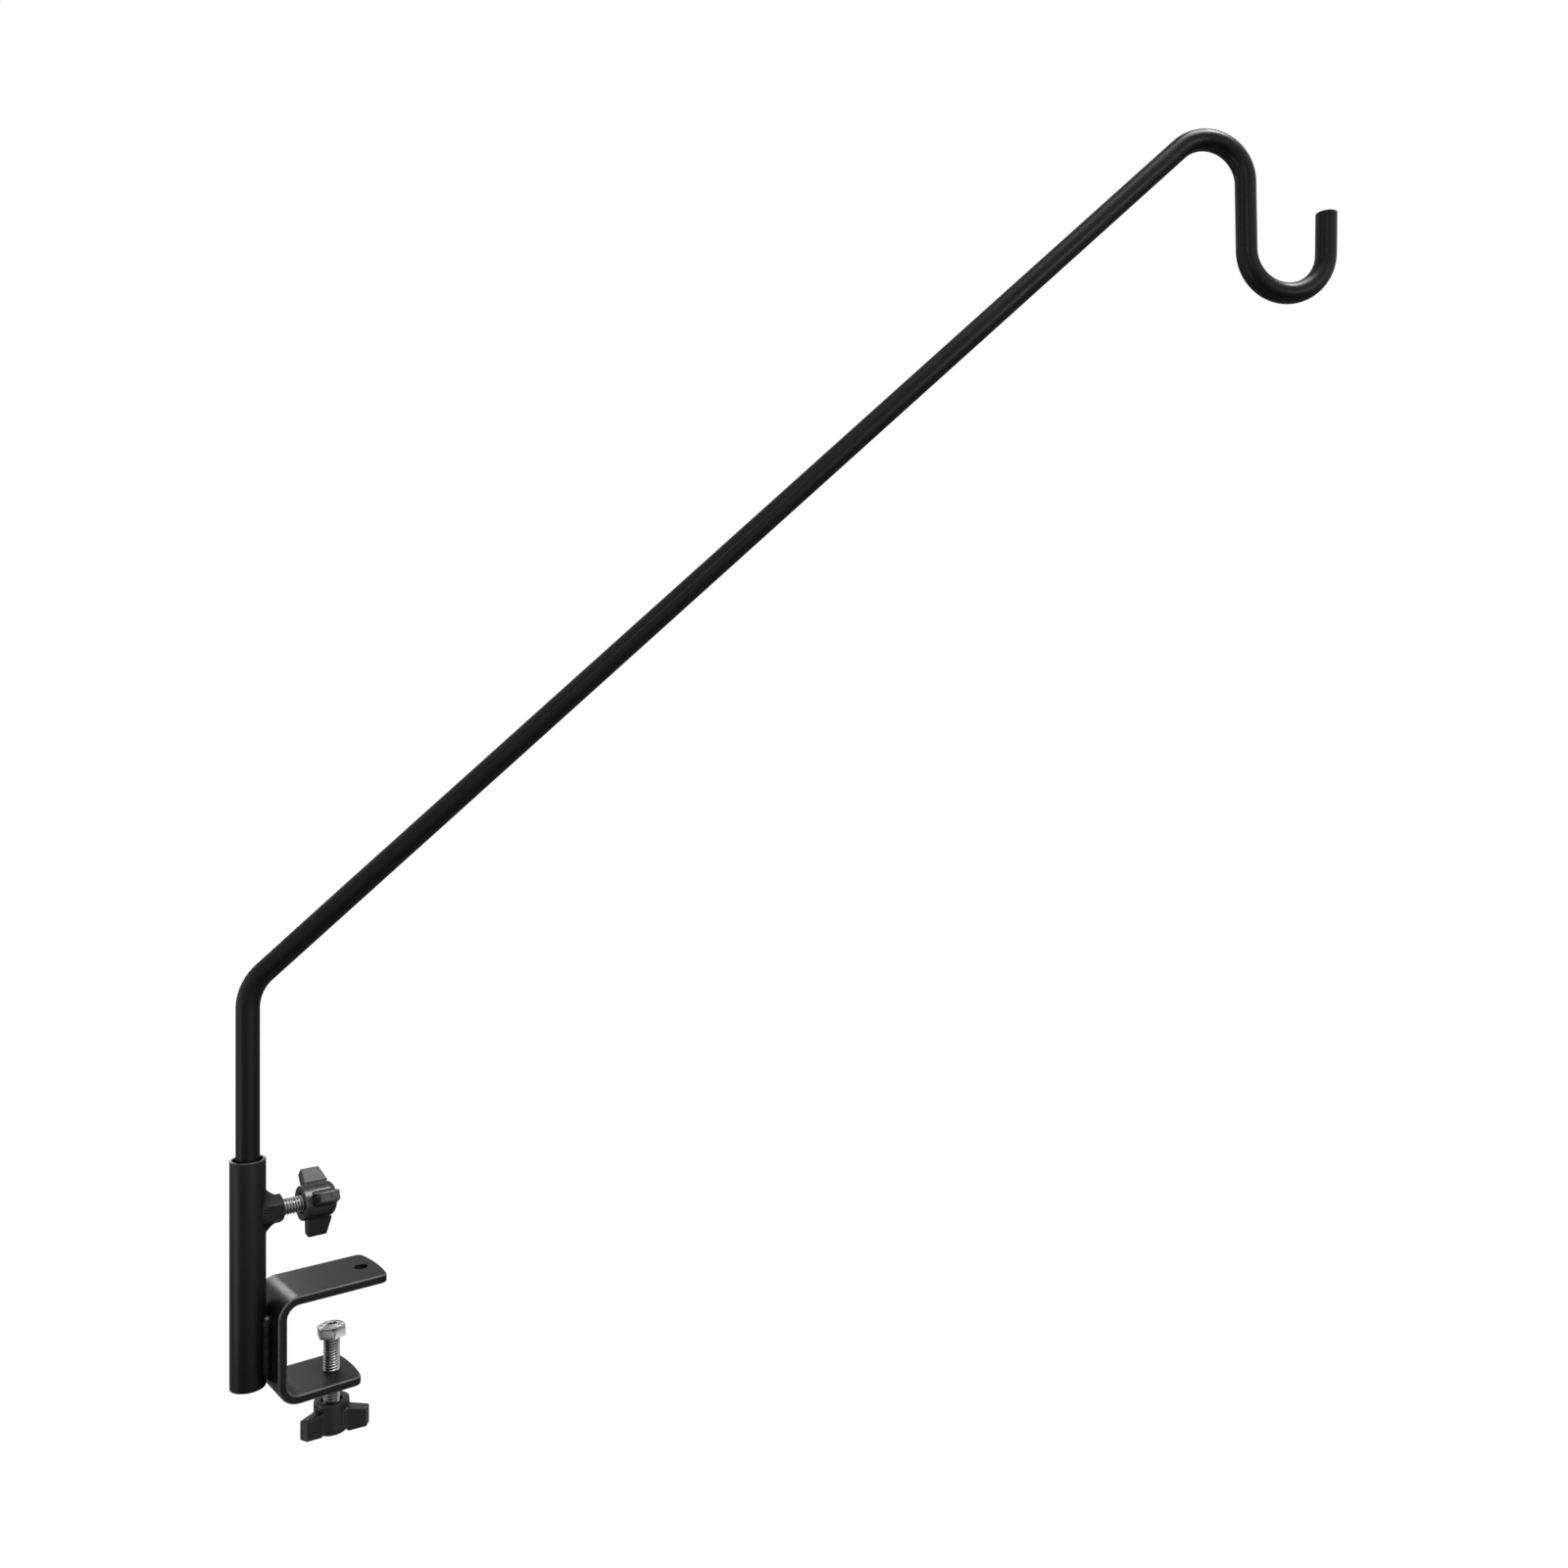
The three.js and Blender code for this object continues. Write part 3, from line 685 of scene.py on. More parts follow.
def with_broken_ends(stations, steps=5):
    """Adds close stations at both ends, with the bar's radius easing in over them."""
    eased = []
    for i in range(steps + 1):
        turn = math.pi / 2 * i / steps
        reach = ROD_END_EDGE * (1 - math.cos(turn))
        eased.append((reach, 1 - ROD_END_EDGE * (1 - math.sin(turn)) / ROD_RADIUS))
    first = (stations[1] - stations[0]).normalized()
    last = (stations[-2] - stations[-1]).normalized()
    foot = [(stations[0] + first * reach, share) for reach, share in eased]
    middle = [(spot, 1.0) for spot in stations[1:-1]]
    tip = [(stations[-1] + last * reach, share) for reach, share in reversed(eased)]
    return foot + middle + tip


def make_rod():
    points = with_broken_ends(rod_stations())
    curve = bpy.data.curves.new("rod_line", "CURVE")
    curve.dimensions = "3D"
    line = curve.splines.new("POLY")
    line.points.add(len(points) - 1)
    swing = math.radians(ARM_SWING)
    for (spot, share), point in zip(points, line.points):
        x = SLEEVE_X + spot.x * math.cos(swing)
        y = spot.x * math.sin(swing)
        point.co = (x * MM, y * MM, spot.y * MM, 1)
        point.radius = share
    values = {"Bar Radius": ROD_RADIUS * MM, "Sides": ROD_SIDES, "Material": finishes["rod_coat"]}
    mesh = smooth_shaded(tree_mesh(trees["round_bar"], "rod", values, curve), angle=40)
    add_piece("coated_rod", highlight_edges_marked(mesh), "arm", "rod_coat", "hook_arm")


# Sleeve and its nut

SLEEVE_EDGE = 0.45
STUD_WAY = (2, 12)
HEX_SIDES = 6
HEX_FACE_SHARE = 0.96
HEX_CHAMFER_ANGLE = 30
NUT_EDGE = 0.25
NUT_MOUTH = 0.5
NUT_MOUTH_FLARE = 1.3


def make_sleeve():
    """A tube with rounded rims, and a way for the lock stud through one wall."""
    outer = SLEEVE_RADIUS - SLEEVE_EDGE
    inner = SLEEVE_RADIUS - SLEEVE_WALL + SLEEVE_EDGE
    low = SLEEVE_BOTTOM + SLEEVE_EDGE
    high = SLEEVE_TOP - SLEEVE_EDGE
    profile = []
    for centre, start in (((inner, low), 180), ((outer, low), 270), ((outer, high), 0), ((inner, high), 90)):
        profile += arc(centre, SLEEVE_EDGE, start, start + 90, steps=4)
    tube = turned("sleeve", profile + profile[:1])
    way = moved(peg("way", *STUD_WAY, SCREW_WAY_RADIUS), shift(z=LOCK_Z) @ ALONG_X)
    mesh = moved(combined(tube, way, "DIFFERENCE"), shift(SLEEVE_X))
    add_piece("sleeve", highlight_edges_marked(smooth_shaded(mesh, angle=40)), "clamp", "steel_coat", "sleeve_tube")


def chamfered_hex(name, flats, height, both_ends):
    """A hexagon along Z whose corners are turned off at its top or at both ends."""
    corner = flats / math.sqrt(3)
    face = flats / 2 * HEX_FACE_SHARE
    rim = corner + OVERRUN
    fall = (rim - face) * math.tan(math.radians(HEX_CHAMFER_ANGLE))
    foot = [(0, 0), (face, 0), (rim, fall)] if both_ends else [(0, 0), (rim, 0)]
    cone = turned("cone", foot + [(rim, height - fall), (face, height), (0, height)], steps=144)
    outline = arc((0, 0), corner, 0, 360, HEX_SIDES)[:-1]
    return combined(prism(name, outline, -OVERRUN, height + OVERRUN), cone, "INTERSECT")


def make_lock_nut():
    nut = chamfered_hex("nut", HEX_FLATS, NUT_HEIGHT, both_ends=True)
    wide = SCREW_WAY_RADIUS + NUT_MOUTH_FLARE
    foot = [(0, -OVERRUN), (wide, -OVERRUN), (SCREW_WAY_RADIUS, NUT_MOUTH)]
    top = [(radius, NUT_HEIGHT - height) for radius, height in reversed(foot)]
    nut = combined(nut, turned("bore", foot + top), "DIFFERENCE")
    nut = moved(softened(nut, NUT_EDGE, least=28), shift(NUT_X, z=LOCK_Z) @ ALONG_X)
    add_piece("weld_nut", highlight_edges_marked(flat_faced(nut, angle=30)), "clamp", "steel_coat", "lock_nut")


# Welds

# The nut's weld: its toe to the sides and towards the ends, its face's widest bend, and its fullness
NUT_WELD_SIDE_TOE = 7.85
NUT_WELD_END_TOE = 12.7
NUT_WELD_HOLD = 8.2
NUT_WELD_FULLNESS = 0.9

# Its upper edge: the height over the sleeve's axis at the sides, and what the ends have on top of that
NUT_WELD_CLIMB = 11.0
NUT_WELD_END_CLIMB = 3.4

# How far that edge stands off the nut's sides, and its reach to either side of that line
NUT_WELD_COVER = 0.05
NUT_WELD_ROOT = 0.15
NUT_WELD_RIPPLE = 0.09
NUT_WELD_RIPPLES = 44

# The beads: how far they stop short of the bends, how deep they sit in the web, and their section
BEAD_INSET = 0.6
BEAD_SINK = 0.05
BEAD_WEB_TOE = 7.7
BEAD_SLEEVE_TOE = 7.2
BEAD_WEB_MIDDLE = 4.5
BEAD_ROOT = (WEB_X - 0.2, 2.6)
BEAD_CROWN = 0.55
BEAD_FACE_STEPS = 10

# Their ends: the length they round off over, and the share of the section that is left
BEAD_END = 4.5
BEAD_END_SHARE = 0.25

# Their ripples: height, length, how far the middle trails, and how near the ends that fades
BEAD_RIPPLE = 0.055
BEAD_RIPPLE_LENGTH = 1.45
BEAD_LAG = 0.9
BEAD_LAG_FADE = 2.2


def on_sleeve(y, sink=0.08):
    """The sleeve's surface beside its axis, with the weld sunk into it a little."""
    return math.sqrt((SLEEVE_RADIUS - sink) ** 2 - y * y)


def make_nut_weld():
    """Weld round the nut's foot: long hollow flanks along the sleeve, hardly any at the sides."""
    count = 168
    steps = 12
    loops = [[] for _ in range(steps + 3)]
    for i in range(count):
        angle = 360 * i / count
        turn = math.radians(angle)
        across, along = math.sin(turn), math.cos(turn)
        wall = (HEX_FLATS / 2 + NUT_WELD_COVER) / math.cos(math.radians(angle % 60 - 30))
        uneven = 0.25 * math.sin(3 * turn + 0.8) + 0.15 * math.sin(7 * turn)
        fullness = NUT_WELD_FULLNESS * abs(along)
        climb = NUT_WELD_CLIMB + NUT_WELD_END_CLIMB * abs(along) ** 1.4 + 0.6 * uneven
        hold = wall + 0.5 + fullness
        hold_y = max(-NUT_WELD_HOLD, min(NUT_WELD_HOLD, hold * across))
        toe_y = NUT_WELD_SIDE_TOE * across
        cover = wall + NUT_WELD_ROOT
        toe = Vector((on_sleeve(toe_y), toe_y, (NUT_WELD_END_TOE + uneven) * along))
        bend = Vector((on_sleeve(hold_y) + NUT_WELD_FULLNESS + fullness, hold_y, hold * along))
        top = Vector((climb, cover * across, cover * along))
        for j in range(steps + 1):
            t = j / steps
            spot = toe * (1 - t) ** 2 + bend * (2 * t * (1 - t)) + top * t * t
            wave = math.sin(NUT_WELD_RIPPLES * turn + 3.0 * t * t + uneven * 6)
            ripple = NUT_WELD_RIPPLE * wave * math.sin(math.pi * t)
            loops[j].append(spot + Vector((ripple, ripple * across, ripple * along)))
        inner = wall - NUT_WELD_ROOT
        loops[steps + 1].append((climb - 2 * NUT_WELD_ROOT, inner * across, inner * along))
        loops[steps + 2].append((on_sleeve(inner * across, 0.3), inner * across, inner * along))
    mesh = moved(lofted("nut_weld", loops, wrap=True), shift(SLEEVE_X, z=LOCK_Z))
    add_piece("nut_weld", smooth_shaded(mesh, angle=60), "clamp", "steel_coat", "lock_nut_weld")


def bead_section(swell, shrink):
    """A fillet between sleeve and web: its face, then the sleeve's side and the web's."""
    toe_web = Vector((WEB_X + BEAD_SINK, BEAD_WEB_TOE))
    toe_sleeve = Vector((SLEEVE_X + on_sleeve(BEAD_SLEEVE_TOE), BEAD_SLEEVE_TOE))
    out = Vector((toe_web.y - toe_sleeve.y, toe_sleeve.x - toe_web.x)).normalized()
    if out.y < 0:
        out = -out
    root = Vector(BEAD_ROOT)
    section = []
    for i in range(BEAD_FACE_STEPS + 1):
        t = i / BEAD_FACE_STEPS
        crown = (BEAD_CROWN + swell * (1 - 0.4 * t)) * 4 * t * (1 - t)
        section.append(toe_web.lerp(toe_sleeve, t) + out * crown)
    for i in range(1, 6):
        y = BEAD_SLEEVE_TOE + (root.y - BEAD_SLEEVE_TOE) * i / 6
        section.append(Vector((SLEEVE_X + on_sleeve(y), y)))
    section += [root, Vector((WEB_X + BEAD_SINK, BEAD_WEB_MIDDLE))]
    return [root + (spot - root) * shrink for spot in section]


def make_bracket_welds():
    """Two fillet beads with the ripples of one pass each, rounded off at their ends."""
    high = BAR_THICKNESS - BEND_OUTER_RADIUS - BEAD_INSET
    low = BRACKET_BOTTOM + BEND_OUTER_RADIUS + BEAD_INSET
    count = 230
    for name, side, phase in (("left", 1, 0.4), ("right", -1, 2.1)):
        loops = []
        for i in range(count + 1):
            z = high + (low - high) * i / count
            to_end = min(high - z, z - low)
            short = 1 - min(1, to_end / BEAD_END)
            shrink = BEAD_END_SHARE + (1 - BEAD_END_SHARE) * math.sqrt(1 - short ** 2)
            ripple = BEAD_RIPPLE * math.sin(2 * math.pi * z / BEAD_RIPPLE_LENGTH + phase)
            swell = ripple + 0.14 * math.sin(z * 0.9 + phase)
            trail = BEAD_LAG * min(1, to_end / BEAD_LAG_FADE)
            loop = []
            for j, spot in enumerate(bead_section(swell, shrink)):
                t = min(1, j / BEAD_FACE_STEPS)
                loop.append((spot.x, side * spot.y, z - trail * 4 * t * (1 - t)))
            loops.append(loop)
        mesh = smooth_shaded(lofted("weld_" + name, loops), angle=60)
        add_piece("weld_bead_" + name, mesh, "clamp", "steel_coat", "bracket_weld_" + name)


# Bracket

BAR_EDGE = 0.95
HOLE_EDGE = 0.3


def plate_stations(length):
    """Half outline of a plate from its tip towards the bend: (x, half width, outward x, outward y)."""
    half = BAR_WIDTH / 2
    corner = PLATE_CORNER_RADIUS
    centre_x = WEB_X + length - PLATE_END_RADIUS
    corner_y = half - corner
    corner_x = centre_x + math.sqrt((PLATE_END_RADIUS - corner) ** 2 - corner_y ** 2)
    meet = math.atan2(corner_y, corner_x - centre_x)
    end_steps, corner_steps, side_steps = 9, 12, 6
    stations = []
    for i in range(end_steps):
        turn = meet * i / end_steps
        c, s = math.cos(turn), math.sin(turn)
        stations.append((centre_x + PLATE_END_RADIUS * c, PLATE_END_RADIUS * s, c, s))
    for i in range(corner_steps + 1):
        turn = meet + (math.pi / 2 - meet) * i / corner_steps
        c, s = math.cos(turn), math.sin(turn)
        stations.append((corner_x + corner * c, corner_y + corner * s, c, s))
    bend_x = WEB_X + BEND_OUTER_RADIUS
    for i in range(1, side_steps):
        stations.append((corner_x + (bend_x - corner_x) * i / side_steps, half, 0.0, 1.0))
    return stations


def strap_stations():
    """The strap's outer face, tip to tip: (point, way inward, half width, outline's outward x and y)."""
    stations = []
    for x, width, out_x, out_y in plate_stations(TOP_PLATE_LENGTH):
        stations.append((Vector((x, BAR_THICKNESS)), Vector((0, -1)), width, out_x, out_y))
    top_bend_z = BAR_THICKNESS - BEND_OUTER_RADIUS
    bottom_bend_z = BRACKET_BOTTOM + BEND_OUTER_RADIUS
    for centre_z, start in ((top_bend_z, 90), (bottom_bend_z, 180)):
        centre = Vector((WEB_X + BEND_OUTER_RADIUS, centre_z))
        for out in arc((0, 0), 1, start, start + 90, steps=24):
            out = Vector(out)
            stations.append((centre + out * BEND_OUTER_RADIUS, -out, BAR_WIDTH / 2, 0.0, 1.0))
    for x, width, out_x, out_y in reversed(plate_stations(BOTTOM_PLATE_LENGTH)):
        stations.append((Vector((x, BRACKET_BOTTOM)), Vector((0, 1)), width, out_x, out_y))
    return stations


def make_strap(steps=5):
    """The bent flat bar as layers across its thickness, its long edges rounded."""
    layers = [(BAR_EDGE + x, BAR_EDGE + y) for x, y in arc((0, 0), BAR_EDGE, 180, 270, steps)]
    layers += [(BAR_THICKNESS - depth, inset) for depth, inset in reversed(layers)]
    stations = strap_stations()
    bm = bmesh.new()
    rows = []
    for depth, inset in layers:
        near, far = [], []
        for spot, inward, width, out_x, out_y in stations:
            place = spot + inward * depth
            x = place.x - inset * out_x
            y = max(0.0, width - inset * out_y)
            near.append(bm.verts.new((x * MM, -y * MM, place.y * MM)))
            far.append(bm.verts.new((x * MM, y * MM, place.y * MM)) if width > 0 else near[-1])
        rows.append((near, far))
    for (near, far), (next_near, next_far) in zip(rows, rows[1:]):
        for lower, upper in ((near, next_near), (far, next_far)):
            for i in range(len(lower) - 1):
                bm.faces.new((lower[i], lower[i + 1], upper[i + 1], upper[i]))
    for near, far in (rows[0], rows[-1]):
        for i in range(len(near) - 1):
            corners = list(dict.fromkeys((near[i], near[i + 1], far[i + 1], far[i])))
            bm.faces.new(corners)
    return mesh_from(bm, "bracket")


def make_bracket():
    bar = make_strap()
    for x, radius, bottom in (
        (FIXING_HOLE_X, FIXING_HOLE_RADIUS, 0),
        (0, SCREW_WAY_RADIUS, BRACKET_BOTTOM),
    ):
        hole = peg("hole", bottom - OVERRUN, bottom + BAR_THICKNESS + OVERRUN, radius, steps=64)
        bar = combined(bar, moved(hole, shift(x)), "DIFFERENCE")
    mesh = highlight_edges_marked(flat_faced(softened(bar, HOLE_EDGE, least=70), angle=50))
    add_piece("bracket", mesh, "clamp", "steel_coat", "clamp_bracket")


# Screws

THREAD_DEPTH = 0.92
THREAD_END_CHAMFER = 0.9
THREAD_FLAT_SHARE = 0.12
ROWS_PER_TURN = 14
THREAD_COLUMNS = 57
SHANK_SINK = 2.5
DISH_RADIUS = 4.1
DISH_DEPTH = 1.0
GROOVE_RADIUS = 5.2
GROOVE_DEPTH = 0.6
HEAD_EDGE = 0.22
HEAD_TURN = 20


def thread(name, length):
    values = {
        "Length": length * MM,
        "Major Radius": SCREW_RADIUS * MM,
        "Thread Depth": THREAD_DEPTH * MM,
        "Pitch": THREAD_PITCH * MM,
        "End Chamfer": THREAD_END_CHAMFER * MM,
        "Flat Share": THREAD_FLAT_SHARE,
        "Rows": int(length / THREAD_PITCH * ROWS_PER_TURN) + 1,
        "Columns": THREAD_COLUMNS,
        "Material": finishes["zinc"],
    }
    mesh = tree_mesh(trees["screw_thread"], name, values)
    bm = bmesh.new()
    bm.from_mesh(mesh)
    bmesh.ops.recalc_face_normals(bm, faces=bm.faces)
    bm.to_mesh(mesh)
    bm.free()
    return smooth_shaded(mesh, angle=50)


def make_lock_stud():
    length = LOCK_FACE_X + THREAD_ENGAGEMENT - STUD_X
    mesh = moved(thread("stud", length), shift(STUD_X, z=LOCK_Z) @ ALONG_X)
    add_piece("threaded_stud", mesh, "lock_screw", "zinc", "lock_stud")


def make_clamp_bolt():
    """The screw and its head, which has a raised rim, a dish in the middle and a groove round that."""
    shank = moved(thread("shank", HEAD_Z + SHANK_SINK - BOLT_FOOT_Z), shift(z=BOLT_FOOT_Z))
    head = chamfered_hex("head", HEX_FLATS, HEAD_HEIGHT, both_ends=False)
    floor = HEAD_HEIGHT - DISH_DEPTH
    dish = [
        (0, floor),
        (DISH_RADIUS - 1.7, floor + 0.02),
        (DISH_RADIUS - 0.7, floor + 0.2),
        (DISH_RADIUS - 0.2, floor + 0.6),
        (DISH_RADIUS, floor + 1.05),
        (DISH_RADIUS, HEAD_HEIGHT + OVERRUN),
        (0, HEAD_HEIGHT + OVERRUN),
    ]
    head = combined(head, turned("dish", dish), "DIFFERENCE")
    floor = HEAD_HEIGHT - GROOVE_DEPTH
    groove = [
        (GROOVE_RADIUS - 0.2, floor),
        (GROOVE_RADIUS + 0.2, floor),
        (GROOVE_RADIUS + 0.55, floor + 0.8),
        (GROOVE_RADIUS - 0.4, floor + 0.8),
    ]
    head = combined(head, turned("groove", groove + groove[:1]), "DIFFERENCE")
    head = flat_faced(softened(head, HEAD_EDGE, least=28), angle=30)
    mesh = joined("bolt", shank, moved(head, shift(z=HEAD_Z) @ rotation(HEAD_TURN, "Z")))
    add_piece("clamp_screw_bolt", mesh, "clamp_screw", "zinc", "clamp_bolt")


# Knobs, on Z with the open face at height zero and the body below

HUB_RADIUS = 9.9
HUB_LENGTH = 18.8
HUB_TOP_RADIUS = 6.0
HUB_DOME_LENGTH = 4.0
HUB_RIM = 0.6
WING_COUNT = 3
WING_REACH = 20.93
WING_EDGE = 0.8
WING_FILLET = 2.6
WING_FILLET_END = 10.86
WING_ROOT_REACH = 9.6
WING_HALVES = (3.7, 2.9)
WING_TOPS = (-4.0, -4.7)
WING_BOTTOMS = (-18.0, -15.6)
# Inside the hub the wing's lower edge is drawn up, so that it stays inside the dome
WING_TUCK = (8.4, 10.6)
WING_TUCKED_BOTTOM = -15.0
WING_REACHES = [5.0, 8.4, 8.7, 9.0, 9.4, 9.8, 10.2, 10.6, 11.0, 13.5, 16.0, 18.5, WING_REACH - WING_EDGE]
BORE_RADIUS = 5.0
BORE_DEPTH = 14.2
INSERT_RADIUS = 6.4
INSERT_LENGTH = 9
INSERT_DEPTH = 2.5
INSERT_TOOTH_DEPTH = 0.3
INSERT_TEETH = 36
MOUTH_RADIUS = 5.9
# The cone that cuts the dimple, from its floor to a place outside the wing
DIMPLE_REACHES = (20.6, 22)
DIMPLE_RADII = (1.0, 1.15)
DIMPLE_Z = -10.2


def between(value, low, high, first, last):
    share = max(0.0, min(1.0, (value - low) / (high - low)))
    return first + (last - first) * share


def wing_half(reach):
    """Half the wing's thickness, with a fillet where it meets the hub."""
    line = between(reach, HUB_RADIUS, WING_REACH, *WING_HALVES)
    if reach >= WING_FILLET_END:
        return line
    drop = min(WING_FILLET * 0.98, WING_FILLET_END - reach)
    return line + WING_FILLET - math.sqrt(WING_FILLET ** 2 - drop ** 2)


def wing_loop(reach, inset, steps=4):
    """A rounded rectangle across the wing at one reach from the axis."""
    half = wing_half(reach) - inset
    top = between(reach, WING_ROOT_REACH, WING_REACH, *WING_TOPS) - inset
    bottom = between(reach, WING_ROOT_REACH, WING_REACH, *WING_BOTTOMS) + inset
    if reach < WING_TUCK[1]:
        bottom = between(reach, *WING_TUCK, WING_TUCKED_BOTTOM, bottom)
    edge = WING_EDGE - inset
    right, high, low = half - edge, top - edge, bottom + edge
    loop = []
    for i, centre in enumerate(((right, high), (-right, high), (-right, low), (right, low))):
        loop += [(reach, y, z) for y, z in arc(centre, edge, 90 * i, 90 * i + 90, steps)]
    return loop


def wing_mesh(turn):
    """One wing: thick and wide at the hub, thinner and narrower at the tip, its edges rounded."""
    loops = [wing_loop(reach, 0) for reach in WING_REACHES]
    for i in range(1, 6):
        lift = math.radians(90 * i / 5.4)
        reach = WING_REACH - WING_EDGE * (1 - math.sin(lift))
        loops.append(wing_loop(reach, WING_EDGE * (1 - math.cos(lift))))
    return moved(lofted("wing", loops), rotation(turn, "Z"))


def hub_mesh():
    dome_z = -HUB_LENGTH + HUB_DOME_LENGTH
    spread = (HUB_RADIUS - HUB_TOP_RADIUS) / HUB_DOME_LENGTH
    dome = arc((0, dome_z), HUB_DOME_LENGTH, -90, 0, steps=12)
    profile = [(0, -HUB_LENGTH)]
    profile += [(HUB_TOP_RADIUS + x * spread, z) for x, z in dome]
    profile += [(HUB_RADIUS, -HUB_RIM), (HUB_RADIUS - HUB_RIM / 3, -HUB_RIM / 4)]
    profile += [(HUB_RADIUS - HUB_RIM, 0), (0, 0)]
    return turned("knob", profile)


def recess_mesh():
    """What is hollow in the knob: the screw's bore, the insert's seat and a flared mouth."""
    seat = INSERT_RADIUS + SEAT_GAP
    seat_low = -INSERT_DEPTH - INSERT_LENGTH - SEAT_GAP
    seat_high = -INSERT_DEPTH + 0.2
    profile = [
        (0, -BORE_DEPTH),
        (BORE_RADIUS, -BORE_DEPTH),
        (BORE_RADIUS, seat_low),
        (seat, seat_low),
        (seat, seat_high),
        (MOUTH_RADIUS, seat_high),
        (MOUTH_RADIUS, -0.4),
        (MOUTH_RADIUS + 0.4, 0.1),
        (MOUTH_RADIUS + 0.4, OVERRUN),
        (0, OVERRUN),
    ]
    return turned("recess", profile, steps=72)


def knob_mesh():
    """The moulded knob, with a dimple in the tip of each wing."""
    turns = [360 / WING_COUNT * i for i in range(WING_COUNT)]
    body = hub_mesh()
    for turn in turns:
        body = combined(body, wing_mesh(turn), "UNION")
    body = combined(body, recess_mesh(), "DIFFERENCE")
    for turn in turns:
        dimple = peg("dimple", *DIMPLE_REACHES, *DIMPLE_RADII, steps=32)
        place = rotation(turn, "Z") @ shift(z=DIMPLE_Z) @ ALONG_X
        body = combined(body, moved(dimple, place), "DIFFERENCE")
    return highlight_edges_marked(flat_faced(body, angle=38))


def make_knobs():
    """Two knobs of one moulding, each with its threaded insert."""
    knob = knob_mesh()
    values = {
        "Teeth": INSERT_TEETH,
        "Outer Radius": INSERT_RADIUS * MM,
        "Tooth Depth": INSERT_TOOTH_DEPTH * MM,
        "Bore Radius": BORE_RADIUS * MM,
        "Length": INSERT_LENGTH * MM,
        "Material": finishes["insert_steel"],
    }
    insert = tree_mesh(trees["knurled_bushing"], "bushing", values)
    moved(insert, shift(z=-INSERT_DEPTH - INSERT_LENGTH))
    lock_place = shift(LOCK_FACE_X, z=LOCK_Z) @ rotation(LOCK_KNOB_TURN, "X") @ rotation(-90, "Y")
    clamp_place = shift(z=CLAMP_FACE_Z) @ rotation(CLAMP_KNOB_TURN, "Z")
    for name, place in (("lock", lock_place), ("clamp", clamp_place)):
        moulding = moved(knob.copy(), place)
        add_piece(name + "_wing_knob", moulding, name + "_screw", "plastic", name + "_knob")
        bushing = moved(insert.copy(), place)
        add_piece(name + "_insert", bushing, name + "_carrier", "insert_steel", name + "_knob_insert")


# Foot cap

CAP_RIM = 0.25
CAP_INNER_RIM = 0.15


def make_foot_cap():
    inner = ROD_RADIUS + SEAT_GAP
    outer = inner + CAP_WALL
    top = CAP_BOTTOM + CAP_HEIGHT
    floor = CAP_BOTTOM + CAP_FLOOR
    profile = [
        (0, CAP_BOTTOM),
        *arc((outer - CAP_WALL, CAP_BOTTOM + CAP_WALL), CAP_WALL, -90, 0, steps=6),
        *arc((outer - CAP_RIM, top - CAP_RIM), CAP_RIM, 0, 90, steps=3),
        *arc((inner + CAP_INNER_RIM, top - CAP_INNER_RIM), CAP_INNER_RIM, 90, 180, steps=3),
        (inner, floor),
        (0, floor),
    ]
    mesh = smooth_shaded(moved(turned("cap", profile), shift(SLEEVE_X)), angle=40)
    add_piece("foot_cap", mesh, "arm_foot", "cap_plastic", "arm_foot_cap")


# Room

SOFT_LIGHT = 0.35

# The floor's glow to glossy rays and to the camera, and how much of its look the glow makes up
FLOOR_GLOSS = 0.15
FLOOR_LEVEL = 1.1
FLOOR_GLOW_SHARE = 0.88

# The floor in millimetres: its depth under the origin, and its start and end along the camera's way
FLOOR_DEPTH = 1000
FLOOR_THICKNESS = 10
FLOOR_NEAR = -900
FLOOR_FAR = 12000
FLOOR_SIDE = 6000

# Lamps: place and aim in metres, length of a side in metres, power in watts
LAMPS = {
    "overhead": ((1.0, -1.4, 4.6), (0.15, -0.1, 0.2), 2.2, 184),
    "high_right": ((1.54, -1.6, 4.02), (0.0, 0.0, 0.0), 0.5, 56),
    "upper_left": ((-1.6, 0.2, 1.9), (0.0, 0.0, 0.2), 0.7, 1.7),
    "beside_camera": ((-1.3, -1.7, 1.3), (0.2, -0.1, 0.3), 0.35, 2.6),
    "left_low": ((-1.6, 0.1, -0.45), (0.0, 0.0, 0.05), 0.8, 2.5),
    "front_right": ((0.53, -1.6, 0.55), (0.0, 0.0, 0.05), 0.4, 1.8),
    "rim": ((0.01, 0.42, 0.21), (-0.02, 0.0, 0.0), 0.14, 0.42),
}

# White parts of the surroundings, as glossy rays see them: degrees left of the camera's way, degrees up,
# how tightly they hold together, their share of full white, and whether they stop at the horizon
WHITE_PARTS = [
    (0, 0, 3.0, 0.3, False),
    (50, 35, 6.0, 0.5, True),
    (-50, 35, 6.0, 1.0, True),
    (-90, 0, 6.0, 0.55, False),
    (-135, 5, 8.0, 1.0, False),
    (95, 0, 6.0, 1.0, False),
    (140, 5, 8.0, 0.5, False),
    (180, 0, 6.0, 0.35, False),
    (180, 66, 12.0, 1.0, False),
    (180, 85, 4.0, 0.3, False),
]


def area_light(name, place, aim, side, power):
    data = bpy.data.lights.new(name, "AREA")
    data.shape = "SQUARE"
    data.size = side
    data.energy = power
    way = (Vector(aim) - Vector(place)).normalized()
    lamp = new_object(name, data)
    lamp.matrix_world = Matrix.Translation(place) @ way.to_track_quat("-Z", "Y").to_matrix().to_4x4()


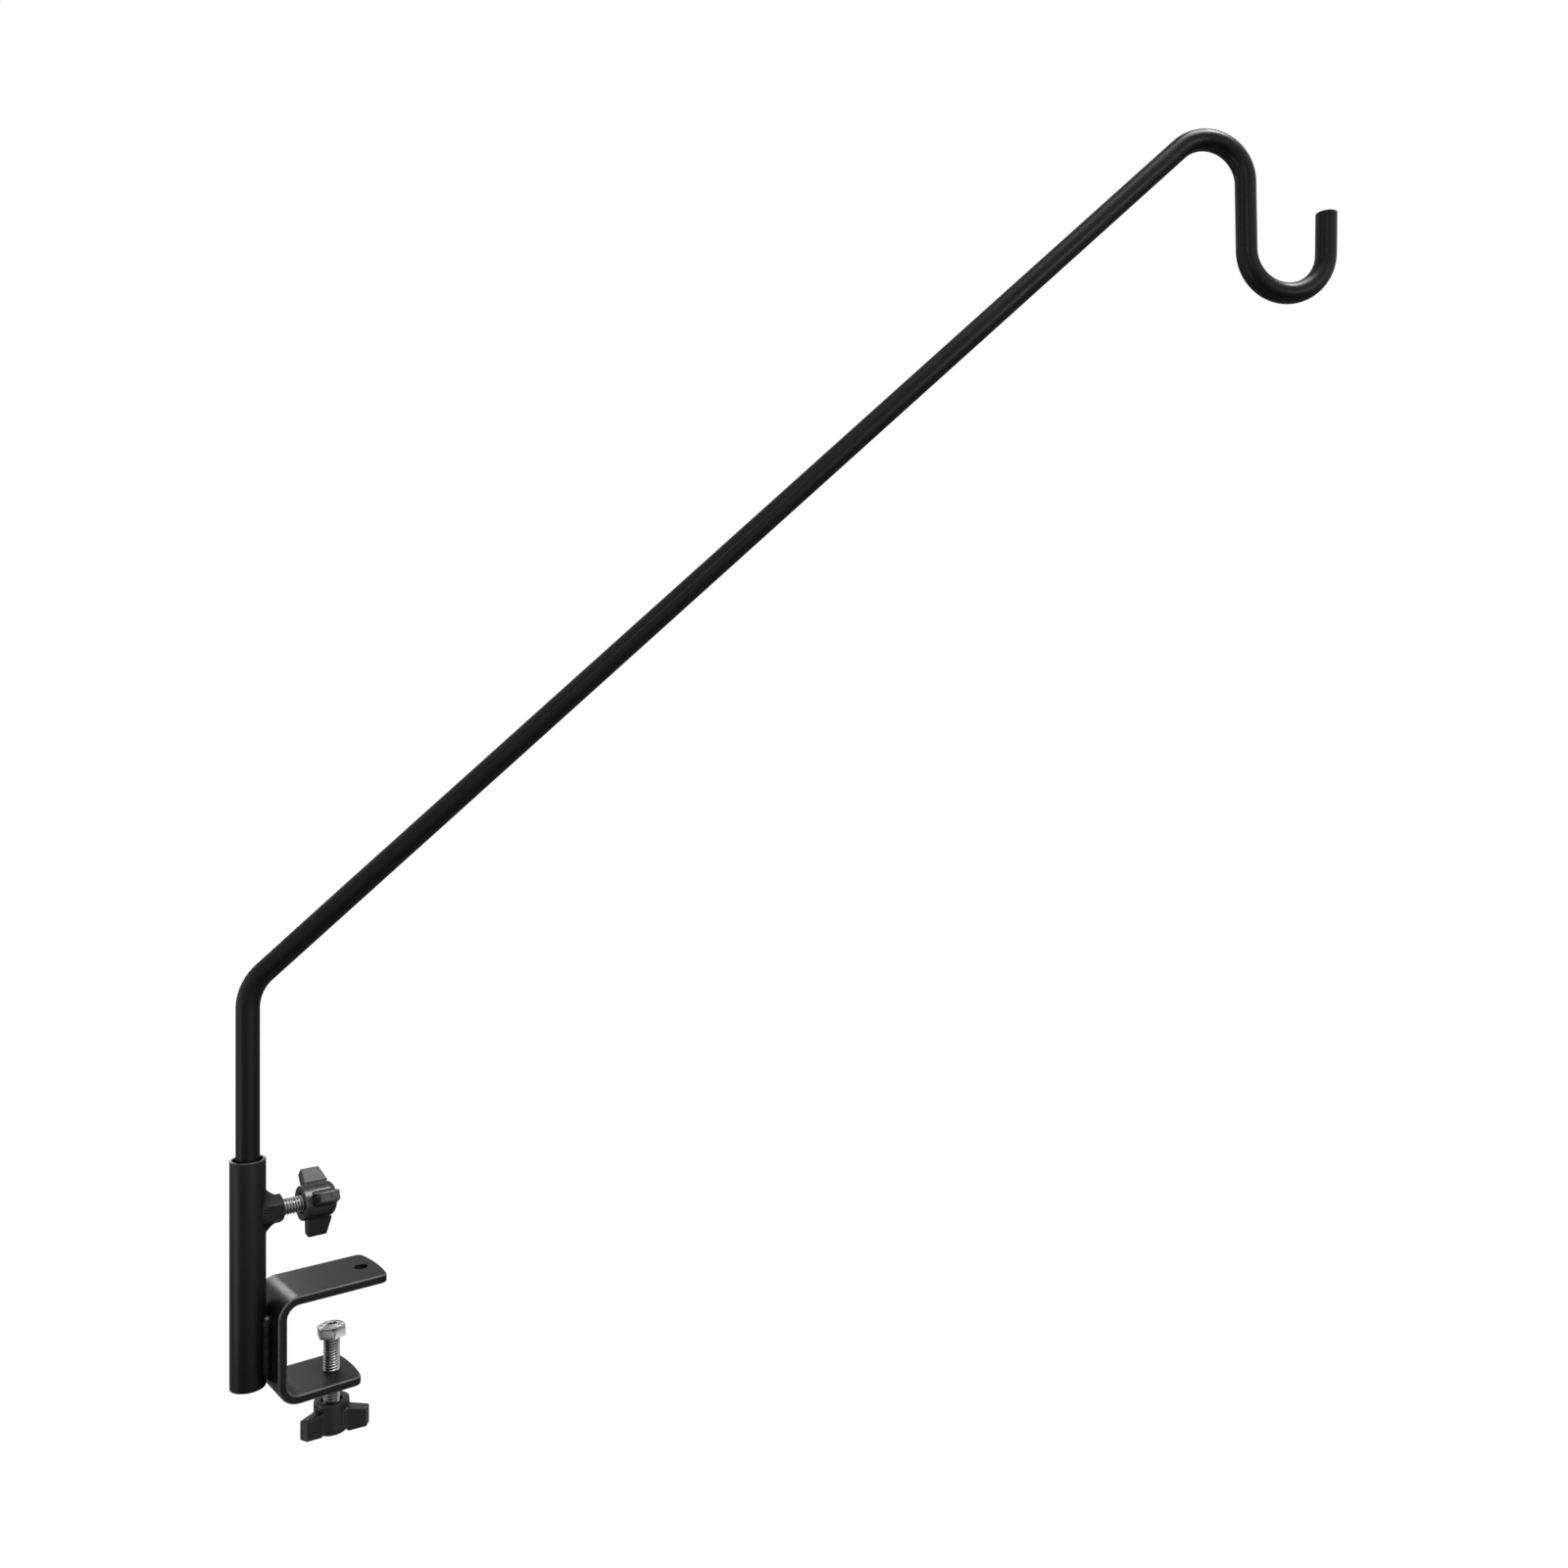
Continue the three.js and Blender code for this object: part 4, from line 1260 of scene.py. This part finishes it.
def seen_directly(tree):
    """1 for the rays that meet the surroundings as they look: from the camera, off gloss, through glass."""
    path = tree.nodes.new("ShaderNodeLightPath").outputs
    first = math_node(tree, "MAXIMUM", path["Is Camera Ray"], path["Is Glossy Ray"])
    return math_node(tree, "MAXIMUM", first, path["Is Transmission Ray"])


def direction(left, up):
    """A direction given in degrees from the camera's level line."""
    turn, climb = math.radians(left), math.radians(up)
    level = AHEAD * math.cos(turn) - RIGHT * math.sin(turn)
    return level * math.cos(climb) + UP * math.sin(climb)


def white_surroundings(tree):
    """How white the surroundings are along a glossy ray, as the sum of the parts in the list above."""
    way = tree.nodes.new("ShaderNodeTexCoord").outputs["Generated"]
    height = add_node(tree, "ShaderNodeSeparateXYZ", {0: way}).outputs["Z"]
    above = ranged(tree, height, 0.0, 0.3)
    total = 0.0
    for left, up, tightness, share, stops in WHITE_PARTS:
        aim = {0: way, 1: direction(left, up)}
        along = add_node(tree, "ShaderNodeVectorMath", aim, operation="DOT_PRODUCT").outputs["Value"]
        near = math_node(tree, "MAXIMUM", along, 0.0)
        level = math_node(tree, "MULTIPLY", math_node(tree, "POWER", near, tightness), share)
        if stops:
            level = math_node(tree, "MULTIPLY", level, above)
        total = math_node(tree, "ADD", level, total)
    return total


def set_backdrop():
    """White to the camera, white in parts to glossy rays, and a soft even light for everything else."""
    world = bpy.data.worlds.new("room")
    bpy.context.scene.world = world
    world.use_nodes = True
    tree = world.node_tree
    sky = tree.nodes["Background"]
    sky.inputs["Color"].default_value = (1, 1, 1, 1)
    camera = tree.nodes.new("ShaderNodeLightPath").outputs["Is Camera Ray"]
    backdrop = math_node(tree, "MAXIMUM", white_surroundings(tree), camera)
    direct = seen_directly(tree)
    soft = math_node(tree, "MULTIPLY", math_node(tree, "SUBTRACT", 1.0, direct), SOFT_LIGHT)
    strength = math_node(tree, "MULTIPLY_ADD", direct, backdrop, soft)
    tree.links.new(strength, sky.inputs["Strength"])


def set_floor():
    """A pale floor far below, white to the camera, with a share of it left to the lamps and shadows."""
    material, tree, shader = blank_material("pale_floor")
    shader.inputs["Base Color"].default_value = (0.8, 0.8, 0.8, 1)
    shader.inputs["Roughness"].default_value = 1.0
    shader.inputs["Specular IOR Level"].default_value = 0.0
    camera = tree.nodes.new("ShaderNodeLightPath").outputs["Is Camera Ray"]
    level = math_node(tree, "MULTIPLY_ADD", camera, FLOOR_LEVEL - FLOOR_GLOSS, FLOOR_GLOSS)
    glow = add_node(tree, "ShaderNodeEmission", {"Color": (1, 1, 1, 1), "Strength": level})
    share = math_node(tree, "MULTIPLY", seen_directly(tree), FLOOR_GLOW_SHARE)
    blend = add_node(tree, "ShaderNodeMixShader", {0: share, 1: shader.outputs[0], 2: glow.outputs[0]})
    tree.links.new(blend.outputs[0], tree.nodes["Material Output"].inputs["Surface"])
    near, far = AHEAD * FLOOR_NEAR, AHEAD * FLOOR_FAR
    side = RIGHT * FLOOR_SIDE
    outline = [(spot.x, spot.y) for spot in (near + side, near - side, far - side, far + side)]
    mesh = prism("floor", outline, -FLOOR_DEPTH - FLOOR_THICKNESS, -FLOOR_DEPTH)
    mesh.materials.append(material)
    new_object("floor", mesh)


def set_room():
    set_backdrop()
    set_floor()
    for name, lamp in LAMPS.items():
        area_light(name, *lamp)
    bpy.context.scene.view_settings.view_transform = "Standard"


aim_camera()
groups = {"fine_grain": make_fine_grain(), "light_dust": make_light_dust(), "edge_highlight_paint": make_edge_highlight_paint()}
finishes = make_finishes()
trees = {
    "round_bar": make_rod_tree(),
    "screw_thread": make_thread_tree(),
    "knurled_bushing": make_knurl_tree(),
}
make_rod()
make_sleeve()
make_bracket()
make_bracket_welds()
make_lock_nut()
make_nut_weld()
make_lock_stud()
make_clamp_bolt()
make_knobs()
make_foot_cap()
set_room()
